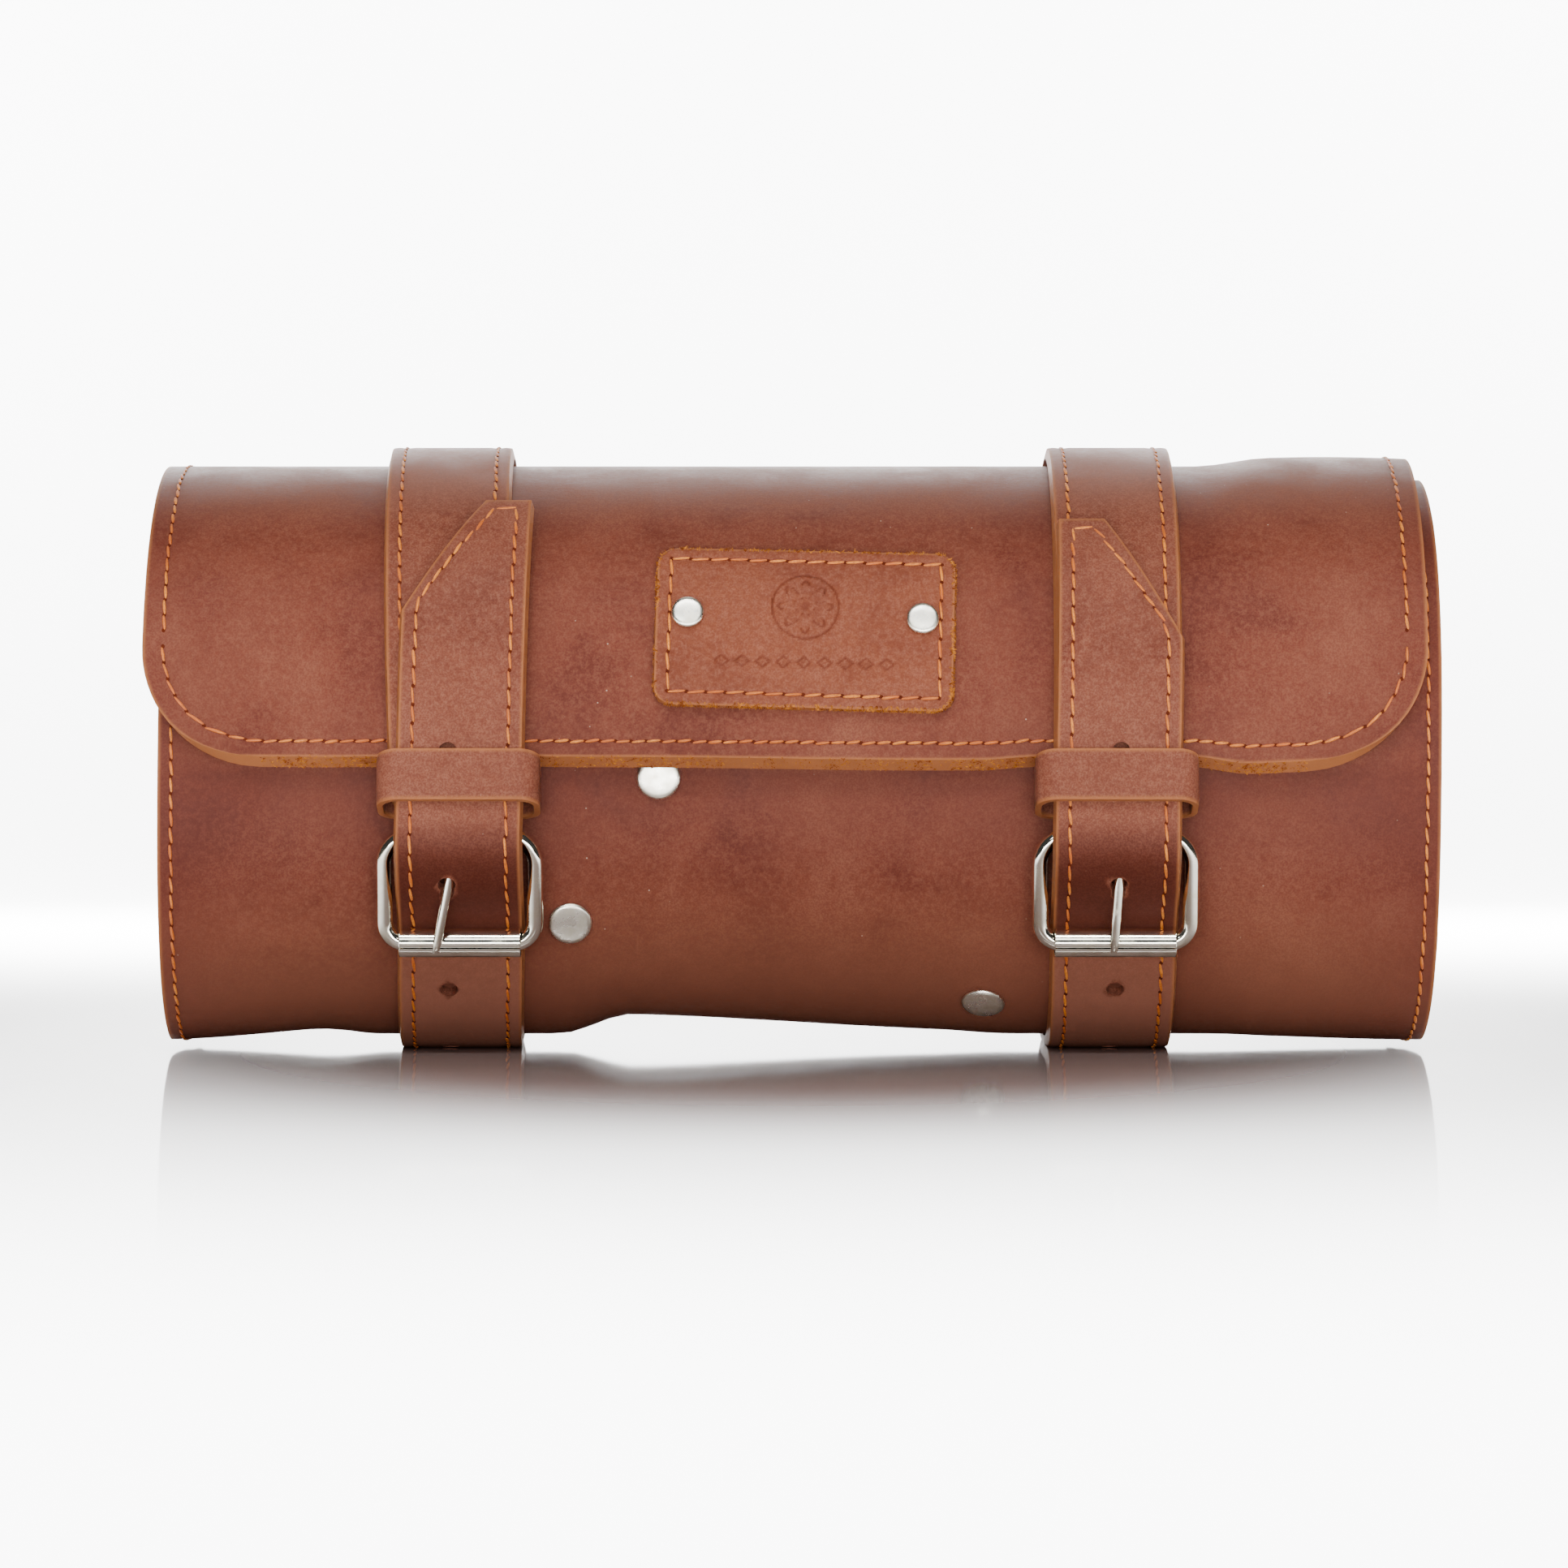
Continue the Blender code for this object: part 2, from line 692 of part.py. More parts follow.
def cut_tail_holes(solid, strap, line, along, buckle):
    """The prong's hole in the tail and the round holes above and below it."""
    row, share = prong_crossing(line, buckle)
    crossing = along[row] + share * (along[row + 1] - along[row])
    for number in range(-HOLES_BELOW, 2):
        distance = crossing + number * HOLE_PITCH
        row = max(index for index, length in enumerate(along) if length <= distance)
        share = (distance - along[row]) / (along[row + 1] - along[row])
        middle = line.points[row].lerp(line.points[row + 1], share)
        x = strap_middle(strap, line, along, row) + strap.holes_aside
        centre = Vector((x, *middle))
        normal = Vector((0.0, *left_of(line.points[row + 1] - line.points[row])))
        depth = STRAP_THICKNESS + 1.6 * CLEAR
        cutter = pin(centre, normal, HOLE_DIAMETER / 2, depth)
        cut(solid, f"hole_cutter_{strap.side}_{number}", cutter)
    start, end = prong_route(strap, buckle)[-3:-1]
    straight = pin((start + end) / 2, end - start, PRONG_WIRE / 2 + CLEAR, BUCKLE_PITCH * 0.8)
    cut(solid, f"prong_path_cutter_{strap.side}", straight)


# The buckles

def build_buckle(strap, buckle, material):
    """A buckle's closed wire frame, the roller on its lower bar and the prong on its heel bar."""
    middle = (buckle.heel + buckle.roller) / 2
    half_width = (BUCKLE_WIDTH - BUCKLE_WIRE) / 2
    points = []
    for across, up in rounded_loop(half_width, BUCKLE_PITCH / 2, HEEL_CORNER, ROLLER_CORNER):
        points.append(Vector((strap.x + across, *(middle - buckle.down * up))))
    out = Vector((0.0, *buckle.out))
    wire(f"buckle_frame_{strap.side}", points, out, BUCKLE_WIRE, material, closed=True)
    build_roller(strap, buckle, material)
    route = prong_route(strap, buckle)
    wire(f"buckle_prong_{strap.side}", route, Vector((1.0, 0.0, 0.0)), PRONG_WIRE, material)


def build_roller(strap, buckle, material):
    """The thin tube that turns on a buckle's lower bar."""
    sections = []
    for index in range(ROUND_SIDES):
        turn = 2 * math.pi * index / ROUND_SIDES
        aside = math.cos(turn) * buckle.down + math.sin(turn) * buckle.out
        outer = buckle.roller + ROLLER_DIAMETER / 2 * aside
        inner = buckle.roller + (ROLLER_DIAMETER / 2 - ROLLER_WALL) * aside
        ends = (strap.x - ROLLER_LENGTH / 2, strap.x + ROLLER_LENGTH / 2)
        sections.append([Vector((x, *outer)) for x in ends] + [Vector((x, *inner)) for x in ends[::-1]])
    return loft(f"buckle_roller_{strap.side}", sections, material, closed=True)


# The keepers

def build_keeper(strap, material):
    """A leather loop round the strap's layers just above the buckle, lower at its back."""
    front = upper_line(30.0)
    outer_height = LAYER_STEP + STRAP_THICKNESS / 2 + CLEAR + KEEPER_THICKNESS / 2
    sections = []
    for end in (-1, 1):
        back_angle = KEEPER_BACK_ANGLE + end * math.degrees(KEEPER_LENGTH / ROLL_DEPTH)
        back = roll_point(back_angle, CLEAR + KEEPER_THICKNESS / 2, layer=1)
        share = (KEEPER_FRONT_ANGLE - HEEL_ANGLE) / (FLAP_EDGE_ANGLE - HEEL_ANGLE)
        run = front[1] - front[0]
        middle = front[0] + run * share + run.normalized() * end * KEEPER_LENGTH / 2
        ahead = middle + left_of(run) * outer_height
        up = (ahead - back).normalized()
        centre = (ahead + back) / 2
        half_height = (ahead - back).length / 2
        rings = []
        for grow in (KEEPER_THICKNESS / 2, -KEEPER_THICKNESS / 2):
            half_width = KEEPER_WIDTH / 2 - KEEPER_THICKNESS / 2 + grow
            corner = KEEPER_CORNER + grow
            loop = rounded_loop(half_width, half_height + grow, corner, corner)
            rings.append([Vector((strap.x + across, *(centre + up * rise))) for across, rise in loop])
        sections.append(rings)
    (outer_low, inner_low), (outer_high, inner_high) = sections
    loops = [list(points) for points in zip(outer_low, outer_high, inner_high, inner_low)]
    return loft(f"keeper_{strap.side}", loops, material, closed=True)


# The patch and the rivets

def patch_place(across, up):
    """Place along the roll and turned angle of a point on the tilted patch."""
    tilt = math.radians(PATCH_TILT)
    x = PATCH_X + across * math.cos(tilt) - up * math.sin(tilt)
    rise = across * math.sin(tilt) + up * math.cos(tilt)
    middle = PATCH_ANGLE - FLAP_EDGE_ANGLE
    return x, middle + rise * turned_per_length(middle)


def build_patch(material):
    """The leather patch sewn and riveted on the flap, following its curve."""
    corner = corner_distances(PATCH_CORNER, 3)
    middle_rows = 4
    span = PATCH_HEIGHT - 2 * PATCH_CORNER
    downs = corner + [PATCH_CORNER + span * row / middle_rows for row in range(1, middle_rows)]
    downs += [PATCH_HEIGHT - distance for distance in reversed(corner)]
    sections = []
    for down in downs:
        edge = min(down, PATCH_HEIGHT - down)
        half = rounded_half_width(edge, PATCH_WIDTH / 2, PATCH_CORNER)
        outer, inner = [], []
        for column in range(PATCH_COLUMNS):
            across = half * (2 * column / (PATCH_COLUMNS - 1) - 1)
            point, normal = sheet_face(*patch_place(across, PATCH_HEIGHT / 2 - down))
            inner.append(point + normal * CLEAR)
            outer.append(point + normal * (CLEAR + PATCH_THICKNESS))
        sections.append(outer + inner[::-1])
    return loft("patch", sections, material)


def build_rivet(name, point, normal, grip, cap_radius, cap_height, metal):
    """A domed cap, a post through a grip of leather and a flat back cap, as one solid."""
    post = cap_radius * POST_SHARE
    back = cap_radius * BACK_CAP_SHARE
    low = -grip - CLEAR - back * back / (ROLL_DEPTH / 2)
    profile = [(cap_radius * 0.35, cap_height), (cap_radius * 0.75, cap_height * 0.85)]
    profile += [(cap_radius, CLEAR + CAP_RIM), (cap_radius, CLEAR), (post, CLEAR)]
    profile += [(post, low), (back, low), (back, low - BACK_CAP_THICKNESS)]
    return turned_solid(name, profile, facing(point, normal), metal)


def rivet_seat(x, turned):
    """Point on the sheet's outer face and the true normal there, also where it is dented."""
    point, outward = sheet_face(x, turned)
    across = sheet_face(x + BODY_CAP_RADIUS, turned)[0] - sheet_face(x - BODY_CAP_RADIUS, turned)[0]
    around = sheet_face(x, turned + 1.0)[0] - sheet_face(x, turned - 1.0)[0]
    normal = across.cross(around).normalized()
    return point, normal if normal.dot(outward) > 0 else -normal


def build_body_rivet(rivet, sheet, metal):
    """A rivet through the roll's outer layer, with its hole."""
    turned = rivet.angle - FLAP_EDGE_ANGLE + 360
    point, normal = rivet_seat(rivet.x_share * ROLL_WIDTH, turned)
    cutter = pin(
        point - normal * LEATHER / 2, normal,
        BODY_CAP_RADIUS * POST_SHARE + CLEAR, LEATHER + FLAP_GAP,
    )
    cut(sheet, f"{rivet.name}_hole_cutter", cutter)
    build_rivet(rivet.name, point, normal, LEATHER, BODY_CAP_RADIUS, BODY_CAP_HEIGHT, metal)


def build_patch_rivet(name, across, patch, sheet, metal):
    """A rivet through the patch and the flap, with its holes."""
    point, normal = sheet_face(*patch_place(across, PATCH_RIVET_RISE))
    grip = CLEAR + PATCH_THICKNESS + LEATHER
    top = point + normal * (CLEAR + PATCH_THICKNESS)
    radius = PATCH_CAP_RADIUS * POST_SHARE + CLEAR
    for target in (patch, sheet):
        cutter = pin(top - normal * grip / 2, normal, radius, grip + FLAP_GAP)
        cut(target, f"{name}_cutter_{target.name}", cutter)
    build_rivet(name, top, normal, grip, PATCH_CAP_RADIUS, PATCH_CAP_HEIGHT, metal)


def rest_on_floor():
    """Moves every piece so that the whole is centred over the origin and rests at Z = 0."""
    corners = [vertex.co for obj in bpy.data.objects for vertex in obj.data.vertices]
    low = Vector([min(corner[axis] for corner in corners) for axis in range(3)])
    high = Vector([max(corner[axis] for corner in corners) for axis in range(3)])
    shift = Matrix.Translation((-(low.x + high.x) / 2, -(low.y + high.y) / 2, -low.z))
    for obj in bpy.data.objects:
        obj.data.transform(shift)


def main():
    """Builds every piece."""
    for obj in list(bpy.data.objects):
        bpy.data.objects.remove(obj)
    roll_leather = principled("roll_leather", (0.27, 0.075, 0.045), 0.5, 0.0)
    strap_leather = principled("strap_leather", (0.32, 0.10, 0.055), 0.5, 0.0)
    nickel = principled("nickel", (0.80, 0.77, 0.70), 0.22, 1.0)
    sheet = build_sheet(roll_leather)
    patch = build_patch(roll_leather)
    for name, side in (("rivet_patch_left", -1), ("rivet_patch_right", 1)):
        build_patch_rivet(name, side * (PATCH_WIDTH / 2 - PATCH_RIVET_INSET), patch, sheet, nickel)
    for rivet in BODY_RIVETS:
        build_body_rivet(rivet, sheet, nickel)
    buckle = place_buckle()
    for strap in STRAPS:
        build_strap(strap, buckle, strap_leather)
        build_buckle(strap, buckle, nickel)
        build_keeper(strap, strap_leather)
    rest_on_floor()


main()
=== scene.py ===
"""Dresses the rolled leather tool roll: grained pull-up leather with raw edges, thread and nickel.

Lengths are in metres. X runs along the roll, the buckles face -Y, and it rests on its straps at Z = 0.
Angles go round the roll in degrees, from 0 at the front, up over the top (90) and down the back.
A turned angle counts the same way along the leather, from 0 at the flap's free edge inwards.
Each leather piece starts as a flat blank, whose vertices hold a place across it, a place along it
and a depth below its grain side, and is then wound round the roll.
"""

import math
import random
from typing import NamedTuple

import bpy
from mathutils import Matrix, Vector, noise


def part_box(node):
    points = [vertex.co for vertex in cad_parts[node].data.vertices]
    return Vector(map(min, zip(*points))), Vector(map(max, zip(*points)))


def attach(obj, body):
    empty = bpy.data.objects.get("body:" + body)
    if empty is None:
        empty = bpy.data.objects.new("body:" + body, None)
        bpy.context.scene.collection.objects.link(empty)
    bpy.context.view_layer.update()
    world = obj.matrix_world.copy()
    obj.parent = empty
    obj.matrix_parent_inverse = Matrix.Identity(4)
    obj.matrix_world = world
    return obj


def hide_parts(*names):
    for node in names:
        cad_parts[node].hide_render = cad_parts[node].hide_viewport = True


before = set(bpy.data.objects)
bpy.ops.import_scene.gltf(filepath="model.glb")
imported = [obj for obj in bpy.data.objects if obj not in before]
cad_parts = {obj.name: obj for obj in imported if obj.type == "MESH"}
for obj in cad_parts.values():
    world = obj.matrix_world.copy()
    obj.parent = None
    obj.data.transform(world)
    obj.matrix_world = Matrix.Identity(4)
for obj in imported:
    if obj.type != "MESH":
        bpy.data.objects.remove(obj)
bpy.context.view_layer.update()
BODY = "root"
MM = 0.001
CLEAR = 0.4 * MM
MERGE_DISTANCE = 0.002 * MM

# The rolled sheet, as in the solids
ROLL_WIDTH = 264.6 * MM
ROLL_DEPTH = 120.0 * MM
ROLL_HEIGHT = 127.0 * MM
LEATHER = 2.6 * MM
FLAP_GAP = 1.2 * MM
INNER_GAP = 3.8 * MM
FLAP_EDGE_ANGLE = -2.1
ROLLED_ANGLE = 684.0
FLAP_CORNER_RADIUS = 25.0 * MM
SIDEWAYS_DRIFT = 3.2 * MM
DRIFT_TURNS = 1.15
DRIFT_SHARE_AT_FLAP = -0.53
FLAP_LIFT = 1.3 * MM
FLAP_LIFT_ANGLE = 24.0
FLAP_EDGE_SLOPE = 2.2 * MM
SQUARENESS = 2.35
LOWER_SQUARENESS = 0.35
LOWER_FRONT_ANGLE = 305.0
UNDERSIDE_SINK = 1.6 * MM
UNDERSIDE_SOFTNESS = 0.8 * MM

# The straps, buckles and keepers, as in the solids
STRAP_WIDTH = 26.4 * MM
STRAP_THICKNESS = 2.4 * MM
STRAP_EDGE_SLOPE = 0.6 * MM
STRAP_TOP_LIFT = 1.2 * MM
BACK_START_ANGLE = 150.0
FOLD_THICKNESS = 1.3 * MM
FOLD_WIDTH = 18.4 * MM
FOLD_TAPER = 9.0 * MM
REST_HALF_ANGLE = 13.0
TIP_FLAT = 10.5 * MM
TIP_LENGTH = 28.0 * MM
TAIL_LEAN = 1.2
HOLE_DIAMETER = 3.7 * MM
HOLE_PITCH = 28.0 * MM
HOLES_BELOW = 3
ZONE_SHARE = 0.72
ZONE_FADE_SHARE = 0.6
STRAP_STEP = 6.0
BUCKLE_WIDTH = 34.4 * MM
BUCKLE_WIRE = 3.4 * MM
BUCKLE_PITCH = 22.5 * MM
HEEL_CORNER = 6.0 * MM
ROLLER_CORNER = 4.5 * MM
HEEL_ANGLE = -15.2
ROLLER_DIAMETER = 6.0 * MM
ROLLER_WALL = 0.5 * MM
ROLLER_LENGTH = 25.0 * MM
PRONG_WIRE = 2.1 * MM
PRONG_WRAP_ANGLE = 280.0
PRONG_TIP_LENGTH = 1.2 * MM
PRONG_TIP_DROP = 0.4 * MM
TAIL_SLOPE = 35.0
KEEPER_WIDTH = 33.6 * MM
KEEPER_LENGTH = 10.5 * MM
KEEPER_THICKNESS = 1.5 * MM
KEEPER_CORNER = 3.6 * MM
KEEPER_BACK_ANGLE = -7.2
KEEPER_FRONT_ANGLE = -4.4

# The patch and the rivets, as in the solids
PATCH_WIDTH = 61.3 * MM
PATCH_HEIGHT = 34.0 * MM
PATCH_THICKNESS = 1.8 * MM
PATCH_CORNER = 4.0 * MM
PATCH_TILT = -1.6
PATCH_X = 2.6 * MM
PATCH_ANGLE = 24.8
PATCH_RIVET_INSET = 6.45 * MM
PATCH_RIVET_RISE = 2.0 * MM
PATCH_CAP_RADIUS = 3.35 * MM
PATCH_CAP_HEIGHT = 1.3 * MM
BODY_CAP_RADIUS = 4.5 * MM
BODY_CAP_HEIGHT = 1.4 * MM
POST_SHARE = 0.4

# Sewing
THREAD = 0.64 * MM
STITCH_PITCH = 3.45 * MM
STRAP_STITCH_PITCH = 3.8 * MM
PATCH_STITCH_PITCH = 4.1 * MM
FLAP_SEAM_INSET = 4.3 * MM
BODY_SEAM_INSET = 2.8 * MM
STRAP_SEAM_INSET = 3.4 * MM
PATCH_SEAM_INSET = 2.7 * MM
GROOVE_DEPTH = 0.22 * MM
GROOVE_REACH = 0.75 * MM


class Strap(NamedTuple):
    """One of the straps: its name, its place as a share of the roll's width, its tip's angle and
    the side that it slants on, how far its holes lie and its long run strays to the side as shares
    of its own width, and its prong's lean in degrees."""

    side: str
    x_share: float
    tip_angle: float
    slant: int
    aside_share: float
    stray_share: float
    prong_lean: float

    @property
    def x(self):
        """Place of the strap along the roll."""
        return self.x_share * ROLL_WIDTH

    @property
    def holes_aside(self):
        """How far the holes lie from the strap's middle."""
        return self.aside_share * STRAP_WIDTH


class Dent(NamedTuple):
    """A soft dent or bulge in the roll. Its depth is outward, as a share of the roll's height."""

    name: str
    x_share: float
    angle: float
    depth_share: float
    x_reach_share: float
    angle_reach: float


class BodyRivet(NamedTuple):
    """A capped rivet through the roll's leather: its name, its place as a share of the roll's
    width, and its angle."""

    name: str
    x_share: float
    angle: float


STRAPS = (
    Strap("left", -0.2585, 50.0, -1, -0.091, -0.18, 11.0),
    Strap("right", 0.2513, 45.3, 1, 0.015, 0.04, 4.0),
)

DENTS = (
    Dent("underside_hollow", -0.17, 276.0, -0.036, 0.20, 42.0),
    Dent("left_foot", -0.50, 285.0, 0.012, 0.10, 40.0),
    Dent("right_foot", 0.50, 285.0, 0.010, 0.12, 40.0),
    Dent("right_shoulder", 0.43, 88.0, 0.016, 0.14, 36.0),
    Dent("left_flap_fold", -0.40, 28.0, -0.013, 0.055, 22.0),
    Dent("lower_front_dip", 0.05, 305.0, -0.010, 0.12, 20.0),
)

BODY_RIVETS = (
    BodyRivet("rivet_under_flap", -0.104, -4.2),
    BodyRivet("rivet_beside_buckle", -0.1735, -33.0),
    BodyRivet("rivet_low", 0.1508, -52.7),
)


# The roll's outline and the layers wound on it

def outline(angle):
    """Point (y, z) of the plain outline, from the roll's axis: squarer low at the front, flat below."""
    turn = math.radians(angle)
    along, up = math.cos(turn), math.sin(turn)
    power = SQUARENESS + LOWER_SQUARENESS * math.cos(turn - math.radians(LOWER_FRONT_ANGLE))
    powers = abs(along / (ROLL_DEPTH / 2)) ** power + abs(up / (ROLL_HEIGHT / 2)) ** power
    radius = powers ** (-1 / power)
    above_rest = radius * up + ROLL_HEIGHT / 2 - UNDERSIDE_SINK
    softened = (above_rest + math.hypot(above_rest, UNDERSIDE_SOFTNESS)) / 2
    return Vector((-radius * along, softened - ROLL_HEIGHT / 2 + UNDERSIDE_SINK))


def left_of(run):
    """Unit vector (y, z) on the left of a run, which is outwards where a line goes up the front."""
    return Vector((-run.y, run.x)).normalized()


def outline_normal(angle):
    """Outward unit normal (y, z) of the outline."""
    step = 0.5
    return left_of(outline(angle + step) - outline(angle - step))


def inset(turned):
    """How far inside the outline the sheet's outer face lies, at a turned angle."""
    overlap_pitch = LEATHER + FLAP_GAP
    if turned <= 360:
        return overlap_pitch * turned / 360
    return overlap_pitch + (LEATHER + INNER_GAP) * (turned - 360) / 360


def away_from_straps(x):
    """0 under a strap and its buckle, rising smoothly to 1 beside them."""
    distance = min(abs(x - strap.x) for strap in STRAPS)
    share = (distance - ZONE_SHARE * STRAP_WIDTH) / (ZONE_FADE_SHARE * STRAP_WIDTH)
    share = min(max(share, 0.0), 1.0)
    return share * share * (3 - 2 * share)


def dent_height(x, angle):
    """How far the leather is pushed outwards by the dents and bulges."""
    total = 0.0
    for dent in DENTS:
        across = (x / ROLL_WIDTH - dent.x_share) / dent.x_reach_share
        around = ((angle - dent.angle + 180) % 360 - 180) / dent.angle_reach
        total += dent.depth_share * ROLL_HEIGHT * math.exp(-across * across - around * around)
    return total * away_from_straps(x)


def flap_lift(x, turned):
    """How far the flap stands off near its free edge, beside the straps."""
    share = max(0.0, 1 - turned / FLAP_LIFT_ANGLE)
    return FLAP_LIFT * share * share * away_from_straps(x)


def roll_point(angle, height, layer=0):
    """Point (y, z) at a height above the outermost layer, or above the one that many turns in."""
    turned = angle - FLAP_EDGE_ANGLE + 360 * layer
    return outline(angle) + outline_normal(angle) * (height - inset(turned))


def sheet_face(x, turned, height=0.0):
    """Point at a height over the sheet's outer face, and the outward normal there."""
    angle = turned + FLAP_EDGE_ANGLE
    normal = outline_normal(angle)
    rise = height + dent_height(x, angle) + flap_lift(x, turned) - inset(turned)
    point = outline(angle) + normal * rise
    return Vector((x, *point)), Vector((0.0, *normal))


def measured_turns(step=0.5):
    """Pairs of a turned angle and its distance along the sheet from the flap's edge."""
    pairs = [(0.0, 0.0)]
    previous = sheet_face(STRAPS[0].x, 0.0)[0]
    while pairs[-1][0] < ROLLED_ANGLE:
        turned = pairs[-1][0] + step
        point = sheet_face(STRAPS[0].x, turned)[0]
        pairs.append((turned, pairs[-1][1] + (point - previous).length))
        previous = point
    return pairs


TURNS = measured_turns()
SHEET_LENGTH = TURNS[-1][1]


def turned_at(distance):
    """Turned angle at a distance along the sheet from the flap's edge."""
    low, high = 0, len(TURNS) - 1
    while high - low > 1:
        middle = (low + high) // 2
        if TURNS[middle][1] <= distance:
            low = middle
        else:
            high = middle
    (first, start), (second, end) = TURNS[low], TURNS[high]
    return first + (second - first) * (distance - start) / (end - start)


def sheet_middle(turned):
    """Middle of the sheet's width: the layers are wound slightly askew."""
    return SIDEWAYS_DRIFT * (DRIFT_SHARE_AT_FLAP + min(turned / 360, DRIFT_TURNS))


def rounded_half_width(distance, half_width, corner):
    """Half width at a distance from an edge whose two corners are rounded."""
    short = max(corner - distance, 0.0)
    return half_width - corner + math.sqrt(max(corner * corner - short * short, 0.0))


# The layers at a buckle: heights above the roll's face below the flap

ON_ROLL = CLEAR + STRAP_THICKNESS / 2
LAYER_STEP = STRAP_THICKNESS + CLEAR
PRONG_WRAP = BUCKLE_WIRE / 2 + CLEAR + PRONG_WIRE / 2
HEEL_HEIGHT = PRONG_WRAP + PRONG_WIRE / 2 + CLEAR
FOLD_RADIUS = BUCKLE_WIRE / 2 + CLEAR
MAIN_OVER_HEEL = HEEL_HEIGHT + FOLD_RADIUS + STRAP_THICKNESS / 2
ROLLER_HEIGHT = 2 * CLEAR + STRAP_THICKNESS + ROLLER_DIAMETER / 2
IN_KEEPER = 2 * CLEAR + KEEPER_THICKNESS + FOLD_THICKNESS / 2
TAIL_ROUND_ROLLER = ROLLER_DIAMETER / 2 + CLEAR + STRAP_THICKNESS / 2
TAIL_OVER_FOLD = FOLD_RADIUS + STRAP_THICKNESS + LAYER_STEP - STRAP_THICKNESS / 2
PRONG_OVER_ROLLER = ROLLER_DIAMETER / 2 + CLEAR + PRONG_WIRE / 2


class Buckle(NamedTuple):
    """Centres (y, z) of a buckle's heel bar and roller, and its downward and outward directions."""

    heel: Vector
    roller: Vector
    down: Vector
    out: Vector
    roller_angle: float

    def at(self, above_roller, outward):
        """Point (y, z) at a distance up from the roller's axis and a distance outwards."""
        return self.roller - self.down * above_roller + self.out * outward

    def aside(self, degrees):
        """Direction (y, z) at an angle round a bar: 0 is down along the buckle and 90 outwards."""
        turn = math.radians(degrees)
        return math.cos(turn) * self.down + math.sin(turn) * self.out


def place_buckle():
    """The buckle's place on the roll, with the roller a buckle's pitch below the heel bar."""
    heel = roll_point(HEEL_ANGLE, HEEL_HEIGHT, layer=1)
    angle = HEEL_ANGLE
    while (roll_point(angle, ROLLER_HEIGHT, layer=1) - heel).length < BUCKLE_PITCH:
        angle -= 0.05
    roller = roll_point(angle, ROLLER_HEIGHT, layer=1)
    down = (roller - heel).normalized()
    return Buckle(heel, roller, down, Vector((down.y, -down.x)), angle)


BUCKLE = place_buckle()


def frame_shift():
    """The move that takes places measured from the roll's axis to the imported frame."""
    low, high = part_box("buckle_roller_left")
    centre = (Vector(low) + Vector(high)) / 2
    return centre - Vector((STRAPS[0].x, *BUCKLE.roller))


SHIFT = frame_shift()


# Blanks, wound pieces and their finish

def deselect_all():
    """Leaves nothing selected and nothing in edit mode."""
    if bpy.context.object and bpy.context.object.mode != "OBJECT":
        bpy.ops.object.mode_set(mode="OBJECT")
    bpy.ops.object.select_all(action="DESELECT")


def leather_blank(name, across, along, depths, joined=False):
    """A flat solid blank over places across and along it, with a rim in rows at some depths.

    Its vertices hold (across, along, minus the depth), and its rim has the second material.
    A joined blank has no rim at its two ends along, because they meet in a loop.
    """
    deselect_all()
    columns, rows = len(across) - 1, len(along) - 1
    bpy.ops.mesh.primitive_grid_add(x_subdivisions=columns, y_subdivisions=rows, size=1)
    blank = bpy.context.object
    blank.name = name
    bpy.ops.object.mode_set(mode="EDIT")
    bpy.ops.mesh.select_all(action="SELECT")
    for _ in depths[1:]:
        bpy.ops.mesh.extrude_region_move(TRANSFORM_OT_translate={"value": (0, 0, -1)})
    bpy.ops.mesh.select_all(action="SELECT")
    bpy.ops.mesh.normals_make_consistent(inside=False)
    if joined:
        bpy.ops.mesh.select_all(action="DESELECT")
        bpy.ops.object.mode_set(mode="OBJECT")
        for polygon in blank.data.polygons:
            polygon.select = abs(polygon.normal.y) > 0.5
        bpy.ops.object.mode_set(mode="EDIT")
        bpy.ops.mesh.delete(type="ONLY_FACE")
    bpy.ops.object.mode_set(mode="OBJECT")
    for polygon in blank.data.polygons:
        polygon.material_index = 0 if abs(polygon.normal.z) > 0.5 else 1
    for vertex in blank.data.vertices:
        column = round((vertex.co.x + 0.5) * columns)
        row = round((vertex.co.y + 0.5) * rows)
        vertex.co = (across[column], along[row], -depths[round(-vertex.co.z)])
    return blank


def wind(piece, place, marks=None):
    """Winds a blank: place gives each vertex its point, and marks gives named shares for shading."""
    mesh = piece.data
    flat = mesh.uv_layers.active.data if mesh.uv_layers.active else mesh.uv_layers.new().data
    for loop in mesh.loops:
        co = mesh.vertices[loop.vertex_index].co
        flat[loop.index].uv = (co.x * 10, co.y * 10)
    if marks:
        values = [marks(*vertex.co) for vertex in mesh.vertices]
        for name in values[0]:
            layer = mesh.attributes.new(name, "FLOAT", "POINT")
            layer.data.foreach_set("value", [value[name] for value in values])
    for vertex in mesh.vertices:
        vertex.co = place(vertex.co.x, vertex.co.y, -vertex.co.z) + SHIFT


def smooth(piece, limit):
    """Shades a piece smooth apart from its sharp edges."""
    deselect_all()
    piece.select_set(True)
    bpy.context.view_layer.objects.active = piece
    bpy.ops.object.shade_smooth_by_angle(angle=math.radians(limit))


def close_up(piece, merge):
    """Turns a piece's faces outwards, and first merges its seam and its ends where asked."""
    deselect_all()
    piece.select_set(True)
    bpy.context.view_layer.objects.active = piece
    bpy.ops.object.mode_set(mode="EDIT")
    bpy.ops.mesh.select_all(action="SELECT")
    if merge:
        bpy.ops.mesh.remove_doubles(threshold=MERGE_DISTANCE)
    bpy.ops.mesh.normals_make_consistent(inside=False)
    bpy.ops.object.mode_set(mode="OBJECT")


